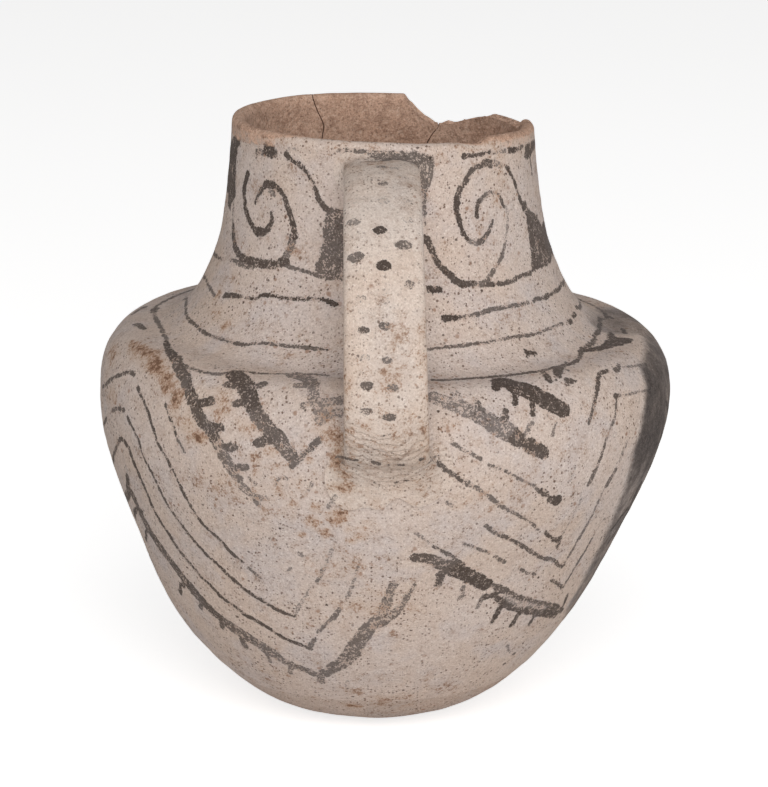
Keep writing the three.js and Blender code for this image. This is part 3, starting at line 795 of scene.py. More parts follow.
def worked_clay_tree():
    """Gives a finished form the slight unevenness of clay smoothed by hand."""
    nodes, given = group_with("worked_clay", [
        ("Undulation", "Float"), ("Scrape", "Float"), ("Material", "Material"),
    ])
    where = nodes.node("GeometryNodeInputPosition").outputs[0]
    depth = nodes.math("MULTIPLY", worked_depth(nodes, given, where), named(nodes, "worked"))
    normal = nodes.node("GeometryNodeInputNormal").outputs[0]
    push = nodes.node("ShaderNodeVectorMath", {0: normal, "Scale": depth}, operation="SCALE")
    worked = nodes.node("GeometryNodeSetPosition",
                        {"Geometry": given["Geometry"], "Offset": push.outputs[0]}).outputs[0]
    return finish_group(nodes, smooth_but_for_corners(nodes, worked, CLAY_CORNER), given["Material"])


def make_strap(tree, material):
    length = rows(STRAP_ROOT - STRAP_SUNK, PATH_LENGTH - STRAP_ROOT + STRAP_SUNK, ROW)
    middle, along, aside, width = strap_frame(length)
    points = np.stack([aside, middle[:, 0], middle[:, 1]], -1) * MM
    path = bpy.data.meshes.new("handle_strap")
    path.from_pydata(points.tolist(), [(i, i + 1) for i in range(len(length) - 1)], [])
    for key, values in (("along", length), ("along_y", along[:, 0]), ("along_z", along[:, 1]),
                        ("aside", aside * MM), ("width", width * MM),
                        ("middle_y", middle[:, 0] * MM), ("middle_z", middle[:, 1] * MM)):
        set_attribute(path, key, values)
    across, out, _ = strap_outline(STRAP_COLUMNS)
    section = bpy.data.meshes.new("strap_section")
    count = len(across)
    corners = [(a, o, 0) for a, o in zip(across, out)]
    section.from_pydata(corners, [(i, (i + 1) % count) for i in range(count)], [])
    set_attribute(section, "across", across)
    set_attribute(section, "out", out)
    section = link("strap_section", section)
    strap = settle(link("handle_strap_clay", path), tree, {
        "Section": section, "Thickness": STRAP_THICKNESS * MM, "Material": material, **working("strap"),
    })
    bpy.data.objects.remove(section)
    face_out(strap.data)
    return strap


# Clay smeared round the strap's ends

def smear_ring(name, tree, material):
    """A fillet between the strap and the wall, closed behind by a line hidden inside both."""
    across, out, normal = strap_outline(SMEAR_COLUMNS)
    round_share = np.arange(SMEAR_COLUMNS) / SMEAR_COLUMNS
    wobble = 1 + 0.16 * np.sin(6 * math.pi * round_share + 1)
    wobble = wobble + 0.1 * np.sin(14 * math.pi * round_share + 2.3)
    if name == "handle_top_smear":
        centre, start, way = TOP_REACH, STRAP_ROOT, 1
        aside, width = STRAP_TOP_SIDESTEP, STRAP_TOP_WIDTH
    else:
        centre, start, way = FOOT_REACH, PATH_LENGTH - STRAP_ROOT, -1
        aside, width = STRAP_FOOT_SIDESTEP, STRAP_FOOT_WIDTH

    def by_side(plain, outer=0, inner=0):
        return plain + outer * np.clip(normal[:, 1], 0, 1) + inner * np.clip(-normal[:, 1], 0, 1)

    def on_wall(extra, proud):
        a = across * width / 2 + extra * normal[:, 0]
        b = out * STRAP_THICKNESS / 2 + extra * normal[:, 1]
        reach = centre + way * b
        turn = np.degrees((aside + a) / outline_at(reach)[0])
        return wall_point(turn, reach, proud)

    shape = SMEARS[name]
    radius = outline_at(centre)[0]
    behind = (across * width / 2) ** 2 / (2 * radius)
    climb = by_side(*shape["strap"]) * wobble
    across_share, out_share = SMEAR_ON_STRAP
    on_strap = strap_point(start - way * behind + way * climb, across * across_share, out * out_share)
    edge = on_wall(by_side(*shape["wall"]) * wobble, -SMEAR_SUNK)
    slack = by_side(*shape["slack"])[:, None]
    corner = (1 - slack) * on_wall(SMEAR_HOLLOW, SMEAR_HOLLOW) + slack * (on_strap + edge) / 2
    hidden = on_wall(*(-distance for distance in SMEAR_BEHIND))
    t = np.linspace(0, 1, SMEAR_ROWS)[:, None, None]
    curve = (1 - t) ** 2 * on_strap + 2 * t * (1 - t) * corner + t * t * edge
    points = np.concatenate([curve, hidden[None]]).reshape(-1, 3)
    mesh = mesh_of(name, points * MM, grid_faces(SMEAR_ROWS + 1, SMEAR_COLUMNS, True))
    share = np.concatenate([np.sin(math.pi * t.ravel()), [0]])
    set_attribute(mesh, "worked", np.repeat(share, SMEAR_COLUMNS))
    face_out(mesh)
    return settle(link(f"{name}_clay", mesh), tree, {"Material": material, **working("smear")})


def rivet_pad(tree, material):
    """The pad of clay pressed over the tenon's end, a low dome on the inner face."""
    middle = 0.02  # share of the radius where the rings start
    angle = np.linspace(0, 2 * math.pi, PAD_COLUMNS, endpoint=False)
    uneven = PAD_RADIUS * (1 + 0.05 * np.sin(2 * angle + 0.7) + 0.03 * np.sin(5 * angle))

    def layer(share, height):
        a, b = share * uneven * np.cos(angle), share * uneven * np.sin(angle)
        reach = FOOT_REACH - b
        turn = np.degrees((STRAP_FOOT_SIDESTEP + a) / (outline_at(reach)[0] - BODY_WALL))
        return wall_point(turn, reach, -(wall_at(reach) + height))

    def dome_height(share):
        """Full in the middle and round at the edge."""
        return PAD_RISE * (1 - share ** 2.4) ** 0.6 - PAD_SUNK

    dome = [layer(share, dome_height(share)) for share in np.linspace(middle, 1, PAD_RINGS)]
    back = [layer(share, -PAD_BACK) for share in (1.0, middle)]
    points = np.concatenate(dome + back)
    faces = grid_faces(PAD_RINGS + 2, PAD_COLUMNS, False).tolist()
    faces.append(list(range(PAD_COLUMNS)))
    last = (PAD_RINGS + 1) * PAD_COLUMNS
    faces.append(list(range(last, last + PAD_COLUMNS))[::-1])
    mesh = mesh_of("handle_rivet_pad", points * MM, faces)
    set_attribute(mesh, "worked", np.ones(len(points)))
    face_out(mesh)
    return settle(link("handle_rivet_pad_clay", mesh), tree, {"Material": material, **working("pad")})


# The painting, read from the photo: start and end width of a stroke, how worn it is, its places

NECK_LEFT_SCROLL = [
    (1.5, 1.2, 0.15, [(-38.6, 202.9), (-36.5, 201.6), (-33, 200.6), (-30.6, 199.6), (-28, 197.6),
        (-26, 195.6), (-25, 193.9)]),
    (1.2, 1.5, 0.2, [(-25, 193.8), (-24, 191.9), (-22.4, 190.8), (-21.3, 190)]),
    (1.8, 1.6, 0.3, [(-54.5, 201.4), (-52, 202), (-50.2, 201.6)]),
    (2.0, 1.8, 0.1, [(-49.5, 204), (-46.5, 203.8), (-45, 202.5)]),
    (1.8, 2.0, 0.15, [(-49.5, 202.4), (-46, 201.9), (-43.8, 202.2)]),
    (2.0, 1.5, 0.1, [(-60.4, 194.8), (-62, 191.9), (-61.7, 189.5), (-59.7, 186.3), (-57.2, 183.8)]),
    (1.5, 2.3, 0.1, [(-57.2, 183.8), (-54.3, 182.4), (-51.5, 181.2), (-48.8, 181)]),
    (2.3, 1.0, 0.15, [(-48.8, 181), (-46.5, 181.6), (-44.6, 183), (-43.6, 184.8), (-44.3, 186.7)]),
    (1.3, 1.3, 0.5, [(-49.2, 180.8), (-48.8, 179.5)]),
    (1.2, 2.4, 0.15, [(-53.5, 188.5), (-52.3, 190.3), (-50, 192.7), (-48, 193.8), (-45.5, 194)]),
    (2.4, 1.8, 0.15, [(-45.5, 194), (-43, 193.7), (-40.5, 192.7)]),
    (1.4, 1.2, 0.45, [(-46, 192.2), (-43.5, 191.8)]),
    (0.8, 0.8, 0.3, [(-69.6, 186.8), (-69.8, 183), (-67.7, 179.8)]),
    (1.3, 2.0, 0.15, [(-39.3, 192.2), (-38, 190.4), (-36.4, 188.5), (-34.6, 186), (-33.5, 183.6),
        (-33, 181.6)]),
    (1.0, 1.0, 0.2, [(-34.5, 182), (-34.9, 179.5), (-36, 177)]),
    (1.5, 1.9, 0.3, [(-33.2, 180.4), (-33.8, 178.6), (-35.2, 176.8), (-36, 175)]),
    (2.6, 2.0, 0.15, [(-36, 175), (-39, 173.7), (-43, 173), (-48, 173), (-53, 172.9), (-57, 173.1),
        (-60, 173.9), (-63, 175.2), (-65, 176.7), (-66.5, 178.3), (-67.7, 179.8)]),
]
NECK_LEFT_FRAME = [
    (1.0, 1.2, 0.3, [(-64, 171.3), (-60, 171.5), (-55, 171.2), (-50, 171.5)]),
    (0.8, 0.8, 0.3, [(-37, 173.8), (-30, 173.3), (-25, 172.8), (-20, 172), (-16, 171.8)]),
    (1.1, 1.1, 0.25, [(-86, 169.3), (-80, 169.6), (-74, 170), (-71.5, 170.1)]),
    (0.7, 0.7, 0.7, [(-66, 203.6), (-60, 203.5), (-55.5, 203.3)]),
    (0.6, 0.6, 0.85, [(-44, 204), (-30, 204.3), (-15, 204.5)]),
    (0.9, 0.9, 0.25, [(-86, 162), (-80, 162.7), (-75, 162), (-70, 161.5), (-66, 160.6)]),
    (1.3, 1.3, 0.15, [(-60, 161.9), (-57, 162.5), (-51, 163.1)]),
    (1.0, 1.2, 0.1, [(-49, 163.2), (-45, 163.5), (-42, 165), (-35, 165.3), (-25, 166), (-20, 166.3),
        (-15.5, 165.3)]),
]
NECK_RIGHT_SCROLL = [
    (1.8, 1.8, 0.15, [(14.5, 183), (16, 181), (18, 177), (20, 175), (23, 172.5), (25.5, 170.8),
        (31, 170.3)]),
    (1.6, 0.8, 0.3, [(31, 170.3), (34, 170), (36, 171), (38, 172), (41, 174), (44, 176), (46, 178),
        (47.5, 180)]),
    (0.8, 0.8, 0.6, [(47.2, 180), (48.8, 182.5), (50, 185), (50.4, 187.5), (49.6, 189)]),
    (1.1, 1.1, 0.2, [(48.7, 189.2), (47.8, 191), (46.8, 192.4), (45.3, 193.3)]),
    (1.1, 1.2, 0.3, [(45.3, 193.3), (42, 193.6), (39.5, 192.8), (37, 191.6)]),
    (1.5, 1.3, 0.1, [(36.6, 191.5), (35.6, 189.9), (35.1, 187.8)]),
    (0.7, 1.9, 0.2, [(42, 186.2), (40.8, 184.3), (39, 182.8), (36.5, 181.3), (35, 181)]),
    (1.6, 1.0, 0.45, [(35, 181), (33.2, 180.9), (30.8, 181.8)]),
    (1.0, 1.7, 0.1, [(30.8, 181.8), (29.4, 183.2), (27.9, 186), (27.3, 188), (26.8, 190.8), (27.4, 193.5)]),
    (1.7, 1.5, 0.2, [(27.4, 193.5), (29.3, 196), (31.6, 197.8), (33.3, 199.6), (36, 201.2)]),
    (1.5, 2.4, 0.2, [(36.4, 201), (39, 201.4), (41.8, 201.7), (43.6, 201.4)]),
    (2.0, 1.4, 0.4, [(44.2, 201.3), (47, 200.9), (48.8, 200.2)]),
    (1.6, 1.0, 0.15, [(52.4, 199.7), (53.8, 198.6), (54.6, 197.6)]),
    (1.0, 1.4, 0.15, [(55.6, 196.8), (56.9, 195), (58.2, 192.4), (59.2, 190.6), (60.5, 188.4),
        (61.3, 187)]),
]
NECK_RIGHT_FRAME = [
    (1.4, 1.2, 0.15, [(31, 204.3), (36, 204.2), (43.5, 204.3)]),
    (1.0, 0.9, 0.45, [(44, 204.2), (52, 204)]),
    (1.6, 1.4, 0.1, [(54.8, 203.8), (59.8, 203.6)]),
    (1.2, 1.2, 0.3, [(61.5, 203.6), (65, 203.8)]),
    (1.0, 0.8, 0.4, [(72, 200.2), (73.5, 197.5), (74, 195)]),
    (1.7, 1.7, 0.1, [(14.5, 169.7), (18, 169.7)]),
    (1.2, 1.2, 0.2, [(33, 170), (40, 169.5), (47, 169.4), (50, 170), (58, 170.2)]),
    (2.2, 1.6, 0.1, [(18.5, 161.8), (22, 161.9)]),
    (1.1, 1.1, 0.25, [(20, 162), (30, 162.3), (35, 163), (47, 162.9), (51, 163)]),
    (1.1, 1.0, 0.2, [(54, 163), (57, 163.3), (60, 162.8), (67, 163), (72, 162.8), (80, 163.5)]),
    (0.9, 0.9, 0.3, [(11.5, 153.6), (20, 154), (30, 154.3), (40, 154.6), (45, 154.3), (52, 154.4),
        (60, 154.8), (63, 154.6)]),
    (1.6, 1.3, 0.15, [(66.5, 154), (69, 154.3)]),
    (1.2, 1.2, 0.2, [(71.5, 154.8), (75.5, 154.9)]),
    (1.0, 1.0, 0.2, [(80, 155.5), (82.5, 155.5)]),
]
SHOULDER_LINES = [
    (1.0, 1.0, 0.25, [(-100, 151.8), (-90, 153.5), (-80, 153), (-75, 152), (-70, 151.3), (-65, 151),
        (-60, 150.4), (-55, 149.7), (-50, 149.8), (-40, 150), (-38, 151), (-33, 152), (-25, 152.3),
        (-16, 152.5)]),
    (1.1, 1.1, 0.3, [(-104, 142.5), (-100, 143.5), (-95, 144.3), (-90, 144), (-82, 144.3), (-73, 144),
        (-68, 143), (-64, 142), (-60, 139.8), (-57, 138.5), (-54, 137), (-50, 135.5), (-45, 135),
        (-40, 134.7), (-37, 135.3), (-35, 136.5), (-33, 138), (-28, 138.5), (-25, 139.3), (-22, 140),
        (-17, 140.8), (-13, 141)]),
    (1.6, 1.2, 0.2, [(10.5, 139.8), (24, 139.7), (28, 139.4), (34, 139.4), (38, 139.6), (44, 140),
        (48, 140.2), (52, 141.7), (56, 144.3), (60, 144.9), (65, 145.4), (70, 146.8), (75, 147.2),
        (80, 147.8), (88, 148), (96, 147), (104, 145)]),
    (2.0, 2.0, 0.2, [(-95, 143.5), (-91, 143.5)]),
    (2.5, 1.5, 0.2, [(-82, 139), (-76, 140)]),
    (2.0, 1.4, 0.3, [(-103, 139), (-97, 137)]),
    (1.4, 1.0, 0.2, [(80, 141), (84, 142)]),
    (1.4, 1.0, 0.2, [(92, 144.5), (95, 146)]),
]
BODY_LEFT_TOP = [
    (1.1, 3.2, 0.1, [(-63, 141.5), (-58.5, 139.3), (-55, 137.8), (-51.5, 136.3)]),
    (3.0, 3.6, 0.2, [(-52, 137), (-48, 133.5), (-45, 131.5), (-42, 128), (-40, 125.5), (-38, 122),
        (-35.5, 119.5), (-33.8, 117)]),
    (3.6, 2.6, 0.35, [(-33.8, 117), (-32, 113), (-29.3, 108)]),
    (2.6, 1.4, 0.4, [(-28.5, 106), (-26.5, 104), (-25, 101)]),
    (2.2, 2.4, 0.15, [(-39, 125.6), (-36, 127)]),
    (2.2, 2.2, 0.15, [(-35.8, 120.4), (-33, 120.8)]),
    (2.0, 2.0, 0.25, [(-32.5, 115.8), (-29.8, 116.5)]),
    (2.0, 1.6, 0.25, [(-30, 110.8), (-27.3, 111.5)]),
    (1.6, 1.2, 0.4, [(-26, 103.5), (-23, 103.3)]),
    (0.9, 0.8, 0.4, [(-26.8, 108.7), (-25.6, 107)]),
    (5.0, 4.6, 0.15, [(-34, 136.3), (-30.5, 133.8), (-28.5, 131), (-26.5, 127.5)]),
    (4.4, 3.8, 0.25, [(-26.5, 127.5), (-23.8, 123.5), (-21, 120.5), (-19.5, 118), (-18.2, 116.3)]),
    (2.2, 1.8, 0.25, [(-28, 133.2), (-25.6, 134.6)]),
    (2.2, 2.0, 0.2, [(-32, 132.5), (-34.3, 132.3)]),
    (2.2, 2.0, 0.2, [(-28.5, 128.3), (-30.5, 127.6)]),
    (2.6, 2.4, 0.2, [(-22.6, 119.6), (-24.9, 118.4)]),
    (1.8, 1.4, 0.3, [(-18.4, 116.4), (-18, 113)]),
    (1.7, 1.7, 0.25, [(-18, 113.4), (-15.8, 116.4), (-13.8, 119), (-12.3, 121)]),
    (4.6, 3.4, 0.35, [(-20.3, 139.6), (-17, 138.4), (-15.3, 135.6)]),
    (3.2, 2.8, 0.45, [(-15.3, 135.6), (-14.5, 132), (-13, 129), (-12.5, 126)]),
    (2.0, 1.6, 0.4, [(-16.5, 135.8), (-18.9, 135.3)]),
    (2.0, 1.6, 0.4, [(-14, 130.5), (-16.4, 129.3)]),
    (2.8, 2.2, 0.45, [(-12.8, 130.5), (-10, 131.2), (-8, 132.2)]),
    (2.6, 2.4, 0.5, [(-12.3, 127.3), (-9, 128)]),
    (0.9, 0.9, 0.2, [(-47.8, 123.2), (-46.9, 121.4)]),
    (0.9, 0.9, 0.2, [(-46.3, 120.4), (-45, 118.4), (-44.5, 116.6)]),
    (0.9, 0.7, 0.35, [(-44, 115.2), (-42, 112.3)]),
    (0.8, 0.8, 0.4, [(-21.3, 107.6), (-20.8, 109.2), (-19.8, 110), (-19, 109.6)]),
    (1.0, 0.8, 0.5, [(-14, 109), (-15.5, 105)]),
    (1.0, 0.8, 0.5, [(-9.5, 106), (-11, 102)]),
    (0.9, 0.7, 0.5, [(-10, 116.5), (-3, 115.3)]),
]

# The nested lines that run down to the right and turn up again, and the ticked band below them
NESTED_LINES = [
    (1.1, 1.1, 0.2, [(-58, 125), (-56, 123), (-54, 121), (-52.5, 118.5), (-51, 115.5), (-50, 113),
        (-47.5, 109.5), (-45, 104.5), (-43.5, 100), (-42, 96), (-40, 91.5), (-38, 89.5), (-36, 87),
        (-34, 84), (-31.5, 81.5)]),
    (1.2, 1.0, 0.35, [(-30, 79.5), (-27.3, 77)]),
    (1.0, 0.8, 0.5, [(-20.5, 80), (-19.8, 81.5)]),
    (0.9, 0.8, 0.5, [(-17.5, 87), (-16.8, 86)]),
    (1.1, 1.2, 0.2, [(-61, 116.3), (-58.5, 114), (-56.5, 111.5), (-55.5, 108), (-53.5, 104.5), (-52, 101),
        (-51, 98), (-50, 95), (-48, 91), (-45, 86), (-42, 82), (-39.5, 79.5), (-37, 76.5), (-35, 74.5),
        (-33, 72.5), (-31, 70.8), (-28, 69), (-25, 67), (-22, 65.5), (-20, 65)]),
    (0.9, 0.8, 0.62, [(-20, 66), (-18.5, 69), (-17, 72), (-15, 76)]),
    (0.9, 1.2, 0.35, [(-14, 77.5), (-13, 80), (-12.4, 82)]),
    (0.8, 0.8, 0.65, [(-12, 83), (-11.5, 84.5), (-10.3, 89)]),
    (1.6, 1.1, 0.2, [(-61, 107.5), (-59.5, 103.5), (-58.5, 100), (-57.5, 96), (-57, 92), (-55.5, 88),
        (-54.5, 86), (-52, 81), (-49.5, 77.5), (-46, 73), (-43, 70.5), (-40, 67), (-37, 65.3), (-34, 63),
        (-31, 61.5), (-28, 59.5), (-25, 57), (-22, 55.5), (-19, 54.3), (-17, 53.5)]),
    (1.8, 1.0, 0.3, [(-17.5, 53.7), (-15.5, 57.5)]),
    (0.9, 0.9, 0.35, [(-14.5, 60), (-12.5, 63), (-11, 65)]),
    (1.6, 1.2, 0.3, [(-10.5, 65.5), (-8.8, 69)]),
    (0.8, 0.7, 0.5, [(-7, 73), (-6, 77), (-5, 82), (-4.5, 85)]),
]
TICKED_BAND = [
    (4.6, 3.2, 0.25, [(-66.5, 92), (-66, 88), (-65, 84), (-63.5, 81), (-61, 77.5), (-58, 74.5), (-55, 71),
        (-52, 67.5), (-49, 64), (-46, 61), (-43, 58.5)]),
    (3.2, 2.2, 0.35, [(-43, 58.5), (-40, 56), (-37, 54), (-34, 52.5), (-31, 50), (-28, 48), (-25, 46),
        (-22, 44.5), (-19, 43), (-17, 42)]),
    (1.2, 1.0, 0.4, [(-42, 59.5), (-36, 56), (-30, 52), (-27, 50)]),
    (1.5, 1.3, 0.2, [(-70.5, 76), (-67.5, 79.5), (-65, 81)]),
    (1.8, 1.5, 0.2, [(-74, 82), (-70, 85.5), (-68, 86.5), (-63.5, 88)]),
    (1.6, 1.2, 0.2, [(-58.5, 63), (-56.5, 66.5)]),
    (1.8, 1.4, 0.2, [(-55.2, 66.5), (-53.5, 70)]),
    (1.8, 1.4, 0.3, [(-50.5, 60.5), (-49, 64)]),
    (1.6, 1.3, 0.3, [(-44.5, 55.5), (-43.5, 58.5)]),
    (2.5, 1.8, 0.3, [(-38.5, 50), (-38, 53)]),
    (1.2, 1.2, 0.4, [(-31.5, 45.3), (-31, 49)]),
    (1.4, 1.2, 0.4, [(-26, 41.5), (-24.5, 45)]),
    (2.2, 1.6, 0.3, [(-16.5, 38.8), (-15.5, 43.5)]),
    (1.2, 1.0, 0.7, [(-8.5, 36), (-8, 39.5)]),
    (2.6, 5.0, 0.35, [(-16.5, 42), (-14, 43.3), (-11, 46.5), (-9, 48.2), (-7.5, 50.2), (-6, 52.7)]),
    (5.0, 2.0, 0.35, [(-6, 52.7), (-5, 55.5), (-3.5, 58.5), (-2.5, 61), (-1, 63.5), (0.5, 66), (1.5, 69),
        (2.2, 73), (3.2, 78)]),
    (3.0, 1.0, 0.35, [(1, 64), (3.5, 67), (5.5, 70), (6.5, 73.5), (7.8, 77.3)]),
]
BODY_LEFT_PLATEAU = [
    (1.1, 1.1, 0.25, [(-79, 118.5), (-76, 119.8), (-73, 121.7), (-70, 123.5), (-67, 125.3), (-64, 127.2),
        (-62, 127.7), (-60.7, 127.5)]),
    (1.0, 1.0, 0.25, [(-79, 108.5), (-76, 110.5), (-74, 112)]),
    (1.0, 1.1, 0.25, [(-70, 115), (-66, 117), (-64, 117.5), (-62.5, 117.5)]),
    (1.4, 1.4, 0.2, [(-104, 94), (-103, 96), (-98, 96), (-95, 95.7), (-90, 95), (-85, 95), (-80, 96.5),
        (-76, 99), (-73, 101.5), (-70, 104.3), (-67, 107.5), (-64.5, 109.5), (-62, 108.5)]),
    (1.0, 1.0, 0.3, [(-99, 105), (-95, 105.3), (-90, 104.8)]),
    (1.0, 1.0, 0.3, [(-104, 112.8), (-98, 113), (-92, 113.3)]),
    (1.0, 0.8, 0.3, [(-104, 120.8), (-101, 121.2)]),
    (2.6, 2.6, 0.2, [(-97, 84), (-90, 84), (-84, 84.5), (-79, 86), (-74, 88.5), (-70, 91.5), (-67, 95.5),
        (-65.7, 98)]),
    (6.0, 6.0, 0.2, [(-97, 82.5), (-92, 82.5)]),
]
BODY_RIGHT = [
    (5.0, 5.4, 0.1, [(25.3, 137.3), (27.8, 135.2), (30.4, 132.5), (33, 129.7)]),
    (5.4, 4.6, 0.1, [(33, 129.7), (35.2, 127.4), (36.6, 126)]),
    (2.0, 2.2, 0.1, [(24.2, 138), (23.4, 134.9)]),
    (1.6, 1.6, 0.1, [(27.3, 134), (26.3, 129.6)]),
    (1.6, 1.8, 0.1, [(30.3, 129.5), (29.5, 126.4)]),
    (1.2, 1.2, 0.3, [(32.9, 125.2), (33, 124.8)]),
    (3.6, 4.2, 0.4, [(9.7, 132.8), (13, 130.8), (16.2, 128.9)]),
    (4.2, 5.0, 0.35, [(16.2, 128.9), (19.3, 126.3), (21.5, 123.8), (24, 121.8)]),
    (4.8, 4.0, 0.15, [(24, 121.8), (26.2, 119.6)]),
    (4.4, 3.4, 0.15, [(28.4, 117.6), (29.6, 116.4), (31.6, 115)]),
    (1.6, 2.0, 0.3, [(18.3, 131.6), (18.6, 128.5)]),
    (1.8, 2.0, 0.2, [(23.8, 127.7), (23, 124.5)]),
    (1.2, 1.2, 0.4, [(28.9, 123.6), (27.3, 120.9)]),
    (2.2, 2.2, 0.55, [(14.2, 134.6), (14.8, 132.5)]),
    (2.0, 2.0, 0.15, [(37, 139.3), (36.6, 135.3)]),
    (2.0, 1.8, 0.15, [(41, 139.8), (39.5, 136)]),
    (1.1, 1.1, 0.3, [(43.5, 137.8), (43.6, 137.3)]),
    (1.0, 1.0, 0.3, [(46, 141.1), (47, 139.3)]),
    (0.9, 0.8, 0.4, [(33.5, 119.5), (34.5, 123)]),
    (0.9, 0.8, 0.5, [(6.3, 116.3), (7.3, 116.3), (9, 117)]),
    (0.9, 0.9, 0.3, [(12.5, 120.2), (14.6, 118.3), (16.8, 116.5), (18.3, 115.2)]),
    (0.9, 0.9, 0.3, [(20, 113.5), (23, 111.5), (26, 109), (30, 105.8), (33.2, 102.5)]),
    (1.8, 1.8, 0.2, [(32, 104), (33.3, 102.5)]),
    (2.0, 3.0, 0.15, [(34.6, 100.9), (36.6, 100)]),
    (1.2, 1.2, 0.2, [(9.7, 115.5), (12, 112.5), (15, 109.5)]),
    (1.2, 0.9, 0.3, [(15, 109.5), (18, 107), (20, 105), (23, 101.5), (25, 99.8), (28, 97.2), (31, 94.8),
        (34, 91.5)]),
    (1.0, 1.4, 0.2, [(36, 90.5), (38, 88), (39.7, 86.8), (41.3, 86)]),
    (1.8, 1.4, 0.2, [(41.3, 86.5), (42, 83.5)]),
    (1.0, 0.8, 0.5, [(12, 103.8), (13, 102.5)]),
    (1.1, 1.1, 0.25, [(21, 95.5), (24, 92.3), (27.5, 89.8), (30, 87.7), (33, 85.3), (36, 82.6),
        (38.5, 80.8), (40, 80.2), (42.5, 79), (45, 76.7), (47, 75.3)]),
    (1.0, 0.8, 0.5, [(6.5, 94.8), (8, 93), (9.5, 91.3)]),
    (0.9, 0.9, 0.35, [(17, 90), (20, 88.3), (23.5, 86)]),
    (0.9, 0.9, 0.35, [(25, 84.5), (28, 82)]),
    (0.9, 1.0, 0.3, [(32.5, 79), (35, 77), (38.5, 75.3)]),
    (1.1, 1.1, 0.2, [(45, 71.5), (48, 69.5), (51.5, 67)]),
    (1.2, 1.4, 0.2, [(54.2, 133.6), (51, 133.6), (48.2, 130.5), (46, 127.5), (44.3, 124.5), (42.9, 121)]),
    (0.7, 0.7, 0.7, [(39.2, 109.5), (39.2, 107), (38.3, 105)]),
    (1.7, 1.3, 0.2, [(51.8, 126.3), (53.2, 126)]),
    (0.8, 1.4, 0.3, [(51.5, 124), (50.5, 120.5), (49.3, 118.3), (48.3, 116), (47.3, 113), (46.3, 109),
        (45.3, 106), (44.5, 103)]),
    (0.6, 0.6, 0.6, [(43.5, 99), (42.8, 95), (42, 90), (41.8, 86)]),
    (1.2, 1.2, 0.5, [(55, 112), (54, 109.5), (53.5, 107)]),
    (1.6, 1.4, 0.3, [(52.3, 104.5), (50.5, 100.5)]),
    (1.0, 1.0, 0.35, [(50, 99), (49.7, 95), (49.4, 91), (48.8, 86), (48, 81.5), (47.5, 78), (47, 75.3)]),
    (1.0, 1.0, 0.3, [(54.5, 84), (54, 80), (53.3, 76), (52.5, 72), (51.5, 67.5)]),
    (1.0, 1.0, 0.4, [(55.5, 88), (58, 88)]),
    (1.6, 1.5, 0.25, [(56.5, 132.8), (59.3, 134)]),
    (0.8, 0.8, 0.4, [(60, 133), (63, 132.3), (67, 131.3), (70, 130.5)]),
    (0.7, 0.7, 0.4, [(51.5, 126.3), (57, 125.3), (62, 124.5), (66, 123.5)]),
    (2.6, 4.4, 0.25, [(7, 86.6), (10, 85.9), (13, 83.8), (16, 81.8)]),
    (4.4, 3.8, 0.15, [(16, 81.8), (19, 79.8), (22, 77.3), (25, 75)]),
    (1.8, 1.2, 0.3, [(25, 75), (27, 74.2), (28.5, 73.6)]),
    (1.0, 1.2, 0.25, [(10.5, 90.1), (13.3, 87.8), (16.2, 84.9), (18.2, 82.9)]),
    (1.9, 1.7, 0.25, [(28, 73.7), (33, 70.3), (36, 68), (40, 66.3), (44, 64), (48, 62.3), (52, 60.5),
        (55, 59), (59, 56.5)]),
    (1.6, 1.8, 0.2, [(25.4, 70.6), (27.5, 71), (29.6, 72)]),
    (2.0, 2.8, 0.2, [(28.6, 70.4), (30.6, 68.3), (34, 65.7), (38, 63.7), (42, 62.1), (46, 60.4),
        (50, 58.7), (56, 56.2)]),
    (2.2, 2.0, 0.55, [(31.5, 70), (36, 66.5), (42, 63.8), (48, 61.4)]),
    (2.2, 2.6, 0.2, [(13.2, 76.8), (13.3, 80.4)]),
    (1.6, 1.5, 0.45, [(19.5, 71.5), (19.5, 75)]),
    (1.4, 1.2, 0.45, [(24.6, 67.5), (25.2, 71)]),
    (1.9, 1.7, 0.15, [(30.3, 61.3), (31.5, 67.5)]),
    (1.7, 1.5, 0.15, [(37.5, 58.3), (38, 62.5)]),
    (1.4, 1.2, 0.2, [(44.5, 56.2), (44.5, 60)]),
    (1.4, 1.2, 0.2, [(56.5, 63), (58, 57)]),
    (0.8, 0.7, 0.5, [(40, 50), (41, 48.5), (43.5, 45.8)]),
    (1.2, 1.2, 0.2, [(46, 44.5), (46.4, 44.1)]),
    (1.0, 1.0, 0.3, [(45, 40.5), (45.4, 40.1)]),
]

